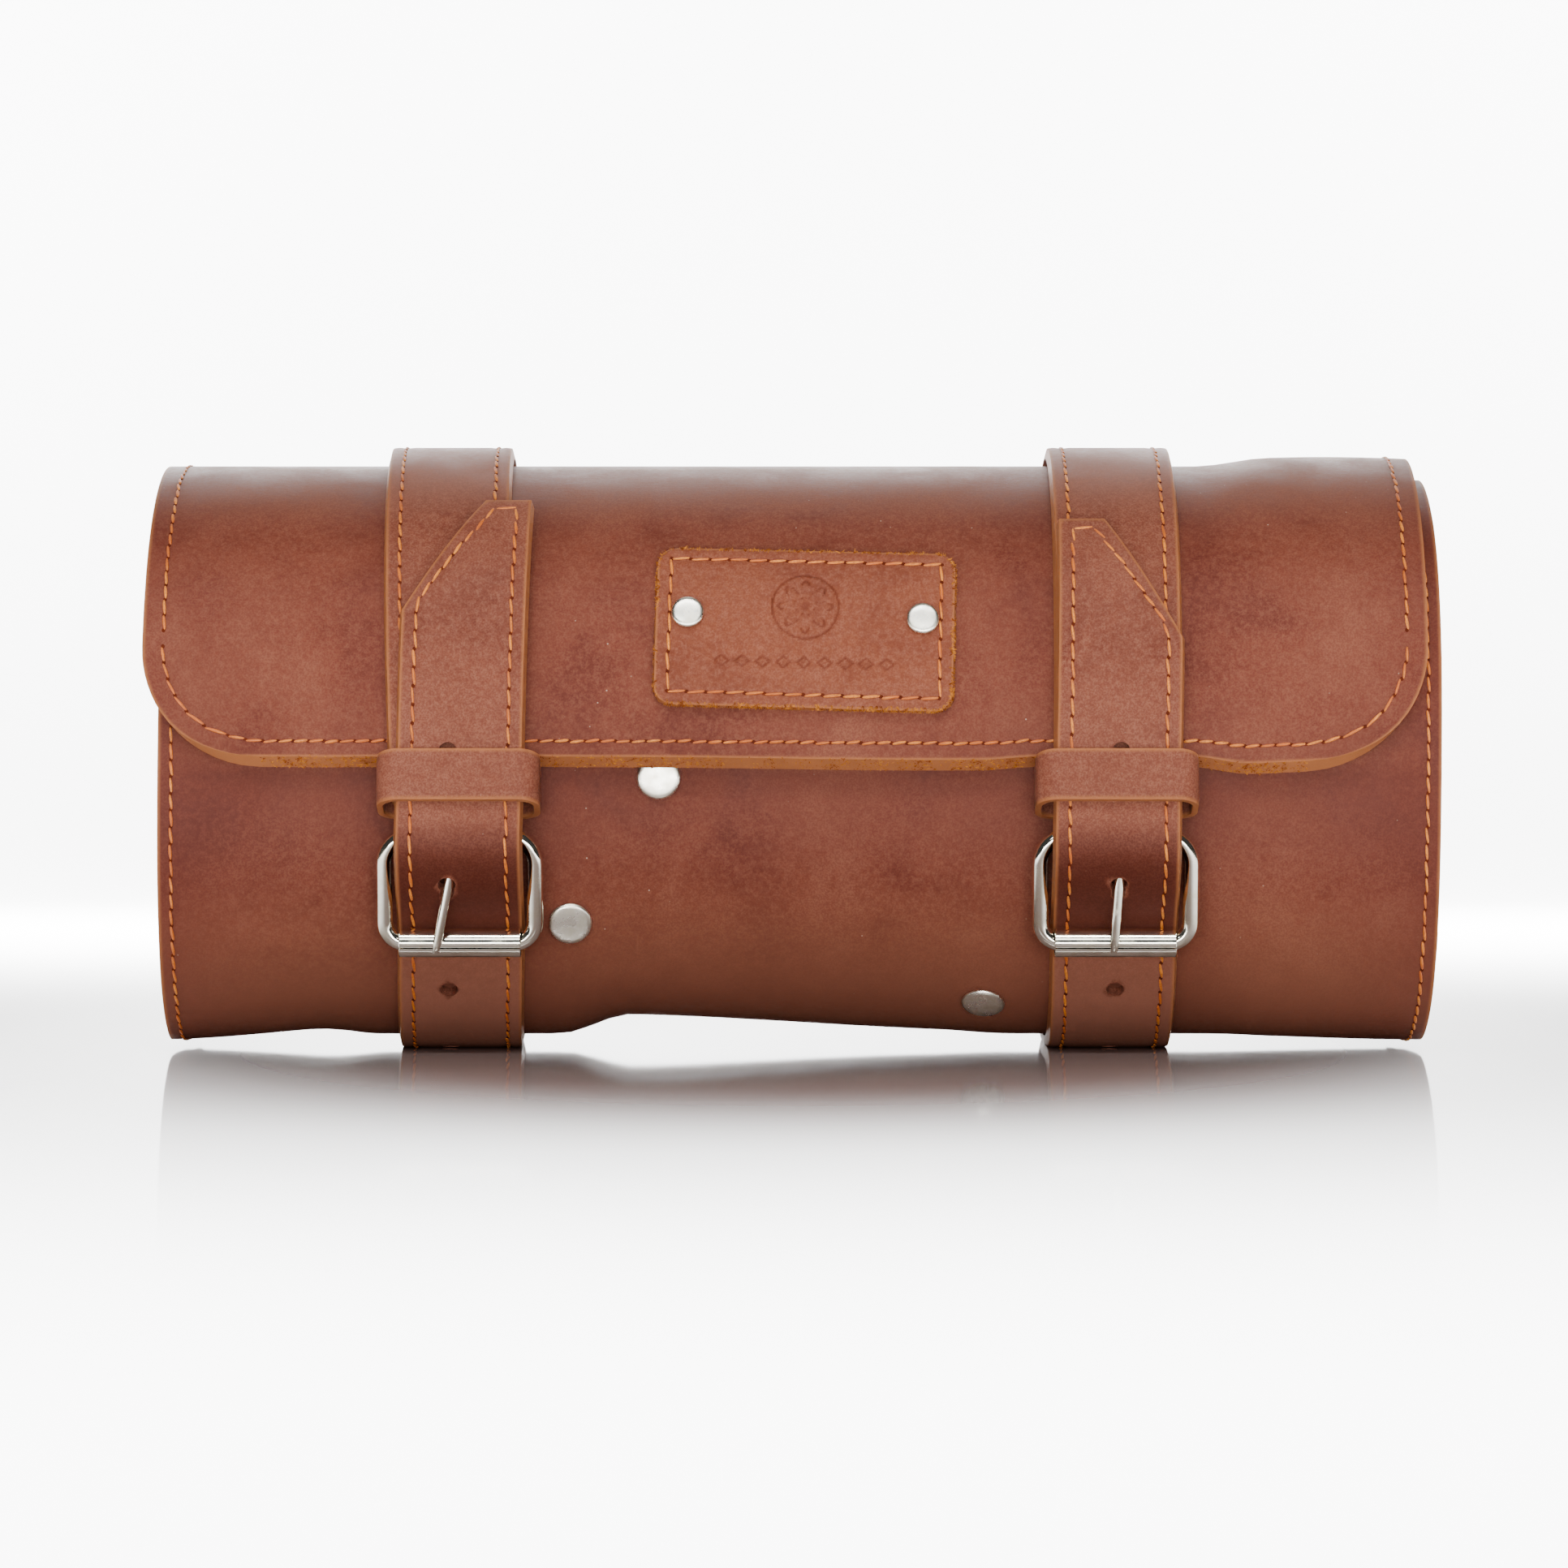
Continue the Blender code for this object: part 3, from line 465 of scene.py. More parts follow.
def dress(piece, slot, materials, *nodes):
    """Gives a finished piece its materials and its body, and hides the nodes that it replaces; its slot
    is not used.
    """
    piece.data.materials.clear()
    for material in materials:
        piece.data.materials.append(material)
    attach(piece, BODY)
    if nodes:
        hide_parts(*nodes)


def apply_modifier(piece, name):
    """Applies one modifier of a piece."""
    deselect_all()
    piece.select_set(True)
    bpy.context.view_layer.objects.active = piece
    bpy.ops.object.modifier_apply(modifier=name)


def spread(start, end, count):
    """Evenly spread places from a start to an end."""
    return [start + (end - start) * index / count for index in range(count + 1)]


def from_edges(width, near, middle_count):
    """Places across a width: given distances in from both edges, and evenly between them."""
    inner = width / 2 - near[-1]
    left = [-width / 2 + distance for distance in near[:-1]]
    return left + spread(-inner, inner, middle_count) + [-place for place in reversed(left)]


def tube(name, line, radius_at, sides, closed, material, slot, *nodes):
    """A round solid along a line of (point, across, out) rows, with a radius for each row.

    It is a grid rolled up along the line, with its seam and its ends merged.
    """
    deselect_all()
    rows = len(line) if closed else len(line) - 1
    bpy.ops.mesh.primitive_grid_add(x_subdivisions=sides, y_subdivisions=rows, size=1)
    piece = bpy.context.object
    piece.name = name
    for vertex in piece.data.vertices:
        turn = 2 * math.pi * (vertex.co.x + 0.5)
        row = round((vertex.co.y + 0.5) * rows)
        point, across, out = line[row % len(line)]
        radius = radius_at(row % len(line))
        vertex.co = point + radius * (math.cos(turn) * across + math.sin(turn) * out) + SHIFT
    close_up(piece, merge=True)
    smooth(piece, 50.0)
    dress(piece, slot, [material], *nodes)
    return piece


def smooth_line(points, step):
    """Points about a step apart on a smooth curve through a few points."""
    ends = [2 * points[0] - points[1], *points, 2 * points[-1] - points[-2]]
    line = [points[0]]
    for before, start, end, after in zip(ends, ends[1:], ends[2:], ends[3:]):
        pieces = max(1, round((end - start).length / step))
        for piece in range(1, pieces + 1):
            t = piece / pieces
            square = 2 * before - 5 * start + 4 * end - after
            cube = 3 * start - before - 3 * end + after
            line.append(0.5 * (2 * start + (end - before) * t + square * t * t + cube * t ** 3))
    return line


# The rolled sheet

SIDE_COLUMNS = [distance * MM for distance in (0, 0.35, 1.0, 2.0, 3.2, 4.3, 5.4, 7.0, 9.0)]
SHEET_RIM = [LEATHER * share for share in (0, 0.10, 0.44, 0.5, 0.56, 0.90, 1.0)]
SHEET_ROW_STEP = 3.0 * MM


def sheet_rows():
    """Distances along the sheet from the flap's edge: close together at its edge and corners."""
    near = [distance * MM for distance in (0, 0.35, 1.0, 2.0, 3.2, 4.3, 5.4, 7.0, 9.0)]
    corner = [place * MM for place in (11, 13, 15, 17, 19, 21, 23, 25)]
    count = round((SHEET_LENGTH - corner[-1]) / SHEET_ROW_STEP)
    return near + corner + spread(corner[-1], SHEET_LENGTH, count)[1:]


SHEET_RUBBED = 1.2 * MM
WAVE_DEPTH = 0.3 * MM
WAVE_LENGTH = 41 * MM
RIPPLE_DEPTH = 0.15 * MM
RIPPLE_LENGTH = 17 * MM
SAG_DEPTH = 1.3 * MM
SAG_PLACE = 88 * MM
SAG_REACH = 22 * MM
SAG_FADE = 9 * MM


class Crease(NamedTuple):
    """A crease down the flap: its place along the roll, half its width and its depth."""

    x: float
    reach: float
    depth: float


CREASES = (
    Crease(-82.0 * MM, 3.2 * MM, 0.35 * MM),
    Crease(-86.5 * MM, 2.0 * MM, 0.28 * MM),
    Crease(-79.5 * MM, 1.2 * MM, 0.30 * MM),
    Crease(-116.0 * MM, 4.5 * MM, 0.50 * MM),
)
CREASE_ANGLE = 13.0
CREASE_ANGLE_REACH = 16.0
CREASE_SLANT = 0.12 * MM


def edge_sag(x):
    """How far the flap's free edge hangs below its mean line, most of all right of the straps."""
    sag = WAVE_DEPTH * (1 + math.sin(x / WAVE_LENGTH + 0.6)) + RIPPLE_DEPTH * math.sin(x / RIPPLE_LENGTH)
    if x > STRAPS[1].x:
        sag += SAG_DEPTH * math.exp(-(((x - SAG_PLACE) / SAG_REACH) ** 2))
    distance = min(abs(x - strap.x) for strap in STRAPS)
    return sag * min(max((distance - KEEPER_WIDTH / 2 - CLEAR) / SAG_FADE, 0.0), 1.0)


def crease_height(x, turned):
    """How far the flap's creases lower its face, beside the left strap and at its left end."""
    height = 0.0
    for crease in CREASES:
        slant = (turned - CREASE_ANGLE - 1) * CREASE_SLANT
        share = (x - crease.x + slant) / crease.reach
        fade = math.exp(-((turned - CREASE_ANGLE) / CREASE_ANGLE_REACH) ** 2)
        height -= crease.depth * math.exp(-share * share) * fade
    return height


def sheet_place(x, distance, depth):
    """Point of the wound sheet for a flat place on its blank and a depth in it."""
    half = rounded_half_width(distance, ROLL_WIDTH / 2, FLAP_CORNER_RADIUS)
    turned = turned_at(min(distance, SHEET_LENGTH))
    middle = sheet_middle(turned)
    across = middle + x * half / (ROLL_WIDTH / 2)
    if abs(x) > ROLL_WIDTH / 2 - SIDE_COLUMNS[-1]:
        from_edge = ROLL_WIDTH / 2 - abs(x)
        across = middle + math.copysign(half - from_edge, x)
    shallow = 1 - depth / LEATHER
    near_edge = max(0.0, 1 - distance / (14 * MM))
    back = FLAP_EDGE_SLOPE * shallow * near_edge * near_edge
    back -= edge_sag(across) * near_edge
    turned = turned_at(min(distance + back, SHEET_LENGTH))
    point, normal = sheet_face(across, turned)
    return point + normal * (crease_height(across, turned) - depth)


def burnish(x, turned):
    """How much painted shade darkens the leather: at the roll's ends, where the light falls off, beside
    the straps, where they shade it, and just under the flap's edge.
    """
    end = abs(x) / (ROLL_WIDTH / 2)
    # Painted shade at the roll's ends, where the light falls off, weaker on the flap.
    shade_amount = 0.9 * max(0.0, (end - 0.72) / 0.28) ** 1.5 * (0.45 if turned < 90 else 1.0)
    # Painted shade in a band beside each strap, where the strap shades the roll.
    for strap in STRAPS:
        away = (abs(x - strap.x) - STRAP_WIDTH / 2) / (12 * MM)
        shade_amount += 0.35 * math.exp(-away * away)
    # Painted shadow in the narrow gap just under the flap's free edge.
    if turned <= 360:
        shade_amount += 0.8 * max(0.0, 1 - (360 - turned) / 34) ** 1.3
    return min(shade_amount, 1.0)


def paled(height):
    """How much painted light lightens the leather, at a height over the axis: low down, standing in for
    light from the floor, and on top, as a painted sheen.
    """
    low = (-26 * MM - height) / (28 * MM)
    top = 0.8 * (height - 48 * MM) / (12 * MM)
    return min(max(low, top, 0.0), 1.0)


def sheet_marks(x, distance, down):
    """Shading marks of the sheet: its raw edges, its painted shade and its painted light."""
    near = min(ROLL_WIDTH / 2 - abs(x), distance, SHEET_LENGTH - distance)
    turned = turned_at(min(distance, SHEET_LENGTH))
    return {
        "edge_wear": max(0.0, 1 - near / SHEET_RUBBED),
        "rim_depth": -down / LEATHER,
        "burnish": burnish(x, turned),
        "paled": paled(sheet_face(x, turned)[0].z),
    }


def build_sheet(leather, edge):
    """The whole rolled sheet with its raw double edge."""
    creased = spread(-91 * MM, -75 * MM, 24)
    across = sorted(from_edges(ROLL_WIDTH, SIDE_COLUMNS, 62) + creased)
    sheet = leather_blank("rolled_leather", across, sheet_rows(), SHEET_RIM)
    wind(sheet, sheet_place, sheet_marks)
    smooth(sheet, 35.0)
    dress(sheet, "roll_leather", [leather, edge], "roll_sheet")
    return sheet


# The straps

def upper_line(last_angle):
    """Centre line of a strap from over the heel bar up onto the flap, to an angle round the roll."""
    points = [roll_point(HEEL_ANGLE, MAIN_OVER_HEEL, layer=1)]
    steps = max(1, round((last_angle - FLAP_EDGE_ANGLE) / STRAP_STEP))
    for step in range(steps + 1):
        angle = FLAP_EDGE_ANGLE + (last_angle - FLAP_EDGE_ANGLE) * step / steps
        lift = STRAP_TOP_LIFT * math.exp(-(((angle - 84) / 34) ** 2))
        points.append(roll_point(angle, ON_ROLL + lift))
    return points


def back_line(first_angle, last_angle):
    """Centre line of a strap lying on the roll behind and below it."""
    steps = round((last_angle - first_angle) / STRAP_STEP)
    return [
        roll_point(first_angle + (last_angle - first_angle) * step / steps, ON_ROLL)
        for step in range(steps + 1)
    ]


def folded_end():
    """Centre line of a strap's thinned end and its fold round the heel bar, with the thicknesses."""
    rows = []
    for angle in (KEEPER_BACK_ANGLE + 5.0, KEEPER_BACK_ANGLE, KEEPER_BACK_ANGLE - 5.2):
        rows.append((roll_point(angle, IN_KEEPER, layer=1), FOLD_THICKNESS))
    steps = 8
    for step in range(steps + 1):
        share = step / steps
        thickness = FOLD_THICKNESS + (STRAP_THICKNESS - FOLD_THICKNESS) * share
        radius = FOLD_RADIUS + thickness / 2
        rows.append((BUCKLE.heel + radius * BUCKLE.aside(-90 + 180 * share), thickness))
    return rows


def climb():
    """Centre line of the tail, from round the roller up over the fold on the heel bar."""
    line = []
    for step in range(4):
        turn = math.radians(-90 + TAIL_SLOPE * step / 3)
        line.append(BUCKLE.at(TAIL_ROUND_ROLLER * math.cos(turn), TAIL_ROUND_ROLLER * math.sin(turn)))
    slope = math.tan(math.radians(TAIL_SLOPE))
    top = TAIL_OVER_FOLD + CLEAR / 2
    rise_start = TAIL_ROUND_ROLLER * math.sin(math.radians(TAIL_SLOPE))
    low = -TAIL_ROUND_ROLLER * math.cos(math.radians(TAIL_SLOPE))
    for share in (0.55, 0.78, 0.93):
        run = (top * share - low) / slope * (1 + 0.35 * max(0.0, share - 0.55))
        line.append(BUCKLE.at(rise_start + run, top * share))
    line.append(BUCKLE.at(BUCKLE_PITCH - (BUCKLE_PITCH - rise_start - run) / 2, top))
    return line


def runs(line):
    """The direction of a line at each of its points."""
    last = len(line) - 1
    return [line[min(row + 1, last)] - line[max(row - 1, 0)] for row in range(len(line))]


def lengths_along(line):
    """The distance of each point of a line from its start."""
    found = [0.0]
    for start, end in zip(line, line[1:]):
        found.append(found[-1] + (end - start).length)
    return found


class StrapRoute:
    """A strap's finely sampled centre line (y, z), with its normals, thicknesses and distances."""

    def __init__(self, strap):
        folded = folded_end()
        rows = [Vector((*point, thickness)) for point, thickness in folded]
        full = STRAP_THICKNESS
        rows += [Vector((*point, full)) for point in upper_line(BACK_START_ANGLE)[1:]]
        last = BUCKLE.roller_angle + 360 - 9
        rows += [Vector((*point, full)) for point in back_line(BACK_START_ANGLE + STRAP_STEP, last)]
        rows += [Vector((*point, full)) for point in climb()]
        tail = upper_line(strap.tip_angle)
        lower = [point + left_of(run) * LAYER_STEP for point, run in zip(tail, runs(tail))]
        heel = lower[0]
        rows += [Vector((*point, full)) for point in lower]
        fine = smooth_line(rows, 1.6 * MM)
        self.strap = strap
        self.points = [row.to_2d() for row in fine]
        self.thicknesses = [row.z for row in fine]
        self.normals = [left_of(run) for run in runs(self.points)]
        self.along = lengths_along(self.points)
        self.length = self.along[-1]
        self.fold = self.distance_near(folded[-1][0], 0, len(fine) // 3)
        self.roller = self.distance_near(climb()[0], len(fine) // 2, len(fine))
        self.heel = self.distance_near(heel, len(fine) // 2, len(fine))
        self.floor = max(
            roll_point(270 + side * REST_HALF_ANGLE, ON_ROLL + STRAP_THICKNESS / 2).y
            for side in (-1, 1)
        )

    def distance_near(self, point, first, last):
        """Distance along the strap of the row nearest to a point, among some of its rows."""
        row = min(range(first, last), key=lambda number: (self.points[number] - point).length)
        return self.along[row]

    def at(self, distance):
        """Centre, normal and thickness at a distance along the strap."""
        distance = min(max(distance, 0.0), self.length)
        low, high = 0, len(self.along) - 1
        while high - low > 1:
            middle = (low + high) // 2
            if self.along[middle] <= distance:
                low = middle
            else:
                high = middle
        share = (distance - self.along[low]) / (self.along[high] - self.along[low])
        centre = self.points[low].lerp(self.points[high], share)
        normal = self.normals[low].lerp(self.normals[high], share).normalized()
        thin, thick = self.thicknesses[low], self.thicknesses[high]
        return centre, normal, thin + share * (thick - thin)

    def middle(self, distance):
        """Middle of the strap's width: its long run strays and its tail leans to one side."""
        stray = math.sin(math.pi * min(max(distance / self.roller, 0.0), 1.0))
        middle = self.strap.x + self.strap.stray_share * STRAP_WIDTH * stray
        return middle + max(0.0, distance - self.heel) * math.tan(math.radians(TAIL_LEAN))

    def edges(self, distance):
        """Left and right edge of the strap, from its middle, at a distance along it."""
        slanted = max(0.0, 1 - (self.length - distance) / TIP_LENGTH) * (STRAP_WIDTH - TIP_FLAT)
        share = min(max((distance - self.fold) / FOLD_TAPER, 0.0), 1.0)
        width = FOLD_WIDTH + (STRAP_WIDTH - FOLD_WIDTH) * share
        left, right = -width / 2, width / 2
        if self.strap.slant < 0:
            return left + slanted, right
        return left, right - slanted

    def face(self, across, distance, height=0.0):
        """Point over the strap's grain side, from its middle, and the outward normal there."""
        centre, normal, thickness = self.at(distance)
        outer = centre + normal * (thickness / 2)
        outer.y = max(outer.y, self.floor)
        outer += normal * height
        return Vector((self.middle(distance) + across, *outer)), Vector((0.0, *normal))


STRAP_COLUMNS = [distance * MM for distance in (0, 0.3, 1.0, 1.6, 2.1, 2.6, 3.4)]
STRAP_RIM = [STRAP_THICKNESS * share for share in (0, 0.08, 0.45, 0.5, 0.55, 0.92, 1.0)]
STRAP_ROW_STEP = 1.7 * MM
STRAP_RUBBED = 0.9 * MM
STRAP_ROUNDING = 0.16 * MM
STRAP_ROUNDED = 0.6 * MM


def seam_groove(distance):
    """How deep the pulled thread presses the leather, at a distance from the seam."""
    return GROOVE_DEPTH * math.exp(-((distance / GROOVE_REACH) ** 2))


def build_strap(route, leather, edge):
    """One strap with its slanted tip, raw double edges and punched holes."""
    strap = route.strap
    across = from_edges(STRAP_WIDTH, STRAP_COLUMNS, 14)
    near_tip = [TIP_LENGTH * share / 16 for share in range(1, 16)] + [0.4 * MM, 0.0]
    count = round((route.length - TIP_LENGTH) / STRAP_ROW_STEP)
    along = spread(0.0, route.length - TIP_LENGTH, count)
    along += sorted(route.length - distance for distance in near_tip)
    blank = leather_blank(f"strap_leather_{strap.side}", across, along, STRAP_RIM)

    def place(x, distance, depth):
        left, right = route.edges(distance)
        centre, normal, thickness = route.at(distance)
        share = depth / STRAP_THICKNESS
        from_left, from_right = x + STRAP_WIDTH / 2, STRAP_WIDTH / 2 - x
        width = right - left
        slope = STRAP_EDGE_SLOPE * (1 - share)
        fit = (width - 2 * slope) / STRAP_WIDTH
        if from_left < STRAP_COLUMNS[-1]:
            side = left + slope + from_left
        elif from_right < STRAP_COLUMNS[-1]:
            side = right - slope - from_right
        else:
            side = left + slope + from_left * fit
        near = min(from_left, from_right, max(route.length - distance, 0.0))
        rounding = 0.0
        if share < 0.05:
            from_seam = min(from_left, from_right) - STRAP_SEAM_INSET + STRAP_EDGE_SLOPE
            rounding = STRAP_ROUNDING * max(0.0, 1 - near / STRAP_ROUNDED) + seam_groove(from_seam)
        outward = (0.5 - share) * thickness - rounding
        point = centre + normal * outward
        point.y = max(point.y, route.floor)
        return Vector((route.middle(distance) + side, *point))

    def marks(x, distance, down):
        near = min(STRAP_WIDTH / 2 - abs(x), route.length - distance)
        half = (route.heel - route.roller) / 2
        away = abs(distance - route.roller - half) / (half + 3 * MM)
        return {
            "edge_wear": max(0.0, 1 - near / STRAP_RUBBED),
            "rim_depth": -down / STRAP_THICKNESS,
            # Painted shadow on the tail below the keeper, between the roller and the heel bar, and
            # painted light where the strap lies low down or on top.
            "burnish": 1.3 * max(0.0, 1 - away ** 4),
            "paled": paled(route.at(distance)[0].y),
        }

    wind(blank, place, marks)
    smooth(blank, 35.0)
    punch_holes(blank, route)
    dress(blank, "strap_leather", [leather, edge], f"strap_{strap.side}")
    return blank


def drill(target, centre, direction, radius, depth):
    """Cuts a round hole, given the middle of its axis, its direction and its whole depth."""
    deselect_all()
    bpy.ops.mesh.primitive_cylinder_add(vertices=32, radius=radius, depth=depth)
    cutter = bpy.context.object
    matrix = direction.to_track_quat("Z", "Y").to_matrix().to_4x4()
    matrix.translation = centre + SHIFT
    cutter.data.transform(matrix)
    modifier = target.modifiers.new("hole", "BOOLEAN")
    modifier.operation = "DIFFERENCE"
    modifier.solver = "EXACT"
    modifier.object = cutter
    apply_modifier(target, "hole")
    bpy.data.objects.remove(cutter)


def prong_x(strap, down):
    """Place along the roll of the leaning prong, at a distance below the heel bar."""
    lean = math.tan(math.radians(strap.prong_lean))
    return strap.x + strap.holes_aside + (BUCKLE_PITCH / 2 - down) * lean


def prong_line():
    """Centre line (y, z) of a prong: a loop round the heel bar, then straight over the roller."""
    points = []
    steps = 28
    for step in range(steps + 1):
        degrees = 90 + PRONG_WRAP_ANGLE * (1 - step / steps)
        points.append(BUCKLE.heel + PRONG_WRAP * BUCKLE.aside(degrees))
    points.append(BUCKLE.at(0.0, PRONG_OVER_ROLLER))
    points.append(BUCKLE.at(-PRONG_TIP_LENGTH, PRONG_OVER_ROLLER - PRONG_TIP_DROP))
    return points


def prong_route(strap):
    """The prong's centre line as points in space, leaning to one side below the heel bar."""
    route = []
    for point in prong_line():
        down = max(0.0, (point - BUCKLE.heel).dot(BUCKLE.down))
        beyond_loop = down if (point - BUCKLE.heel).dot(BUCKLE.out) > PRONG_WRAP * 0.99 else 0.0
        route.append(Vector((prong_x(strap, beyond_loop), *point)))
    return route


def prong_crossing(route):
    """Distance along the strap at which its tail passes from below the prong to above it."""
    start, end = prong_line()[-3:-1]
    side = Vector((end.y - start.y, start.x - end.x)).normalized()
    previous = None
    for distance in spread(route.heel - 26 * MM, route.heel, 120):
        offset = (route.at(distance)[0] - start).dot(side)
        if previous is not None and previous * offset <= 0:
            return distance
        previous = offset
    return route.heel - 12 * MM


def hole_distances(route):
    """Distances along the strap of its punched holes, the prong's among them."""
    crossing = prong_crossing(route)
    return [crossing + number * HOLE_PITCH for number in range(-HOLES_BELOW, 2)]


def punch_holes(target, route):
    """Punches a strap's row of holes, and opens the prong's way through the tail."""
    strap = route.strap
    for distance in hole_distances(route):
        centre, normal, thickness = route.at(distance)
        middle = Vector((route.middle(distance) + strap.holes_aside, *centre))
        drill(target, middle, Vector((0.0, *normal)), HOLE_DIAMETER / 2, thickness + 1.4 * CLEAR)
    start, end = prong_route(strap)[-3:-1]
    drill(target, (start + end) / 2, end - start, PRONG_WIRE / 2 + CLEAR, BUCKLE_PITCH * 0.8)
    heel = Vector((prong_x(strap, 0.0), *BUCKLE.heel))
    radius = PRONG_WRAP + PRONG_WIRE / 2 + CLEAR
    drill(target, heel, Vector((1.0, 0.0, 0.0)), radius, PRONG_WIRE + 2 * CLEAR)


# The buckles

def rounded_loop(half_width, half_height, upper_radius, lower_radius, corner_steps=10):
    """Points round a rectangle with rounded corners, anticlockwise from its right side."""
    points = []
    for corner, (across, up) in enumerate(((1, 1), (-1, 1), (-1, -1), (1, -1))):
        radius = upper_radius if up > 0 else lower_radius
        for step in range(corner_steps + 1):
            turn = math.pi / 2 * (corner + step / corner_steps)
            points.append((
                across * (half_width - radius) + radius * math.cos(turn),
                up * (half_height - radius) + radius * math.sin(turn),
            ))
    return points


def build_frame(strap, nickel):
    """A buckle's wire frame, bent from one round wire."""
    middle = (BUCKLE.heel + BUCKLE.roller) / 2
    loop = rounded_loop((BUCKLE_WIDTH - BUCKLE_WIRE) / 2, BUCKLE_PITCH / 2, HEEL_CORNER, ROLLER_CORNER)
    points = [Vector((strap.x + across, *(middle - BUCKLE.down * up))) for across, up in loop]
    out = Vector((0.0, *BUCKLE.out))
    line = []
    for index, point in enumerate(points):
        run = points[(index + 1) % len(points)] - points[index - 1]
        line.append((point, run.cross(out).normalized(), out))
    name, node = f"buckle_wire_{strap.side}", f"buckle_frame_{strap.side}"
    tube(name, line, lambda row: BUCKLE_WIRE / 2, 24, True, nickel, "nickel", node)


ROLLER_SEAM_ANGLE = 78.0
ROLLER_SEAM_GAP = 7.0


def build_roller(strap, nickel):
    """The rolled sheet-metal tube on a buckle's lower bar, with its open seam facing out."""
    wall = ROLLER_WALL
    across = from_edges(ROLLER_LENGTH, [0.0, 0.15 * MM, 0.4 * MM], 4)
    around = spread(0.0, 1.0, 48)
    blank = leather_blank(f"buckle_tube_{strap.side}", across, around, [0.0, wall])
    gap = ROLLER_SEAM_GAP

    def place(x, share, depth):
        aside = BUCKLE.aside(ROLLER_SEAM_ANGLE + gap / 2 + (360 - gap) * share)
        from_end = ROLLER_LENGTH / 2 - abs(x)
        rounding = 0.15 * MM if from_end < 0.1 * MM and depth == 0 else 0.0
        near_seam = min(share, 1 - share)
        rounding += 0.12 * MM * max(0.0, 1 - near_seam / 0.03) if depth == 0 else 0.0
        radius = ROLLER_DIAMETER / 2 - depth - rounding
        return Vector((strap.x + x, *(BUCKLE.roller + radius * aside)))

    wind(blank, place)
    close_up(blank, merge=False)
    smooth(blank, 40.0)
    dress(blank, "nickel", [nickel, nickel], f"buckle_roller_{strap.side}")


def build_prong(strap, nickel):
    """A prong with its loop round the heel bar and its flattened tip over the roller."""
    raw = prong_route(strap)
    loop, shank, tip = raw[:-2], raw[-3:-1], raw[-2:]
    down = shank[1] - shank[0]
    shank = [shank[0] + down * share for share in spread(0.0, 1.0, 14)[1:]]
    near_tip = (tip[0] + tip[1]) / 2 + (tip[1] - tip[0]) * 0.08
    bend = smooth_line([shank[-2], tip[0], near_tip, tip[1]], 0.5 * MM)
    points = loop + shank[:-1] + bend[2:]
    line = []
    for index, point in enumerate(points):
        run = points[min(index + 1, len(points) - 1)] - points[max(index - 1, 0)]
        across = Vector((1.0, 0.0, 0.0))
        out = run.cross(across).normalized()
        line.append((point, across, out))
    last = len(points) - 1
    rows = [line[0]] + line + [line[-1]]

    def radius_at(row):
        if row in (0, len(rows) - 1):
            return 0.0
        from_tip = (last - (row - 1)) / 6
        return PRONG_WIRE / 2 * min(1.0, 0.62 + 0.38 * from_tip)

    name = f"buckle_pin_{strap.side}"
    tube(name, rows, radius_at, 20, False, nickel, "nickel", f"buckle_prong_{strap.side}")


# The keepers: their fronts stand a little higher in the middle than the solids'
KEEPER_ARCH = 0.5 * MM


def build_keeper(strap, leather, edge):
    """A thin leather loop round the strap's layers, lower at its back and arched at its front."""
    front = upper_line(30.0)
    outer_height = LAYER_STEP + STRAP_THICKNESS / 2 + CLEAR + KEEPER_THICKNESS / 2
    run = front[1] - front[0]
    share = (KEEPER_FRONT_ANGLE - HEEL_ANGLE) / (FLAP_EDGE_ANGLE - HEEL_ANGLE)
    ring = []
    for end in spread(-1.0, 1.0, 8):
        back_angle = KEEPER_BACK_ANGLE + end * math.degrees(KEEPER_LENGTH / ROLL_DEPTH)
        back = roll_point(back_angle, CLEAR + KEEPER_THICKNESS / 2, layer=1)
        middle = front[0] + run * share + run.normalized() * end * KEEPER_LENGTH / 2
        ahead = middle + left_of(run) * outer_height
        ring.append((back, ahead))
    loop_steps = 96
    across = spread(-1.0, 1.0, 8)
    around = spread(0.0, 1.0, loop_steps)
    name = f"keeper_leather_{strap.side}"
    blank = leather_blank(name, across, around, [0.0, 0.15, 0.85, 1.0], joined=True)

    def place(end, share_round, depth):
        back, ahead = ring[round((end + 1) * 4)]
        up = (ahead - back).normalized()
        centre = (ahead + back) / 2
        grow = KEEPER_THICKNESS * (0.5 - depth)
        if abs(end) > 0.99 and depth in (0.0, 1.0):
            grow *= 0.8
        half_width = KEEPER_WIDTH / 2 - KEEPER_THICKNESS / 2 + grow
        corner = KEEPER_CORNER + grow
        loop = rounded_loop(half_width, (ahead - back).length / 2 + grow, corner, corner, 23)
        x, rise = loop[round(share_round * loop_steps) % len(loop)]
        arch = KEEPER_ARCH * (1 - (x / half_width) ** 2) if rise > 0 else 0.0
        point = centre + up * rise + run.normalized() * arch
        return Vector((strap.x + x, *point))

    def marks(end, share_round, down):
        return {"edge_wear": max(0.0, (abs(end) - 0.86) / 0.14), "rim_depth": 0.25}

    wind(blank, place, marks)
    close_up(blank, merge=True)
    smooth(blank, 35.0)
    dress(blank, "strap_leather", [leather, edge], f"keeper_{strap.side}")


# The patch and the rivets

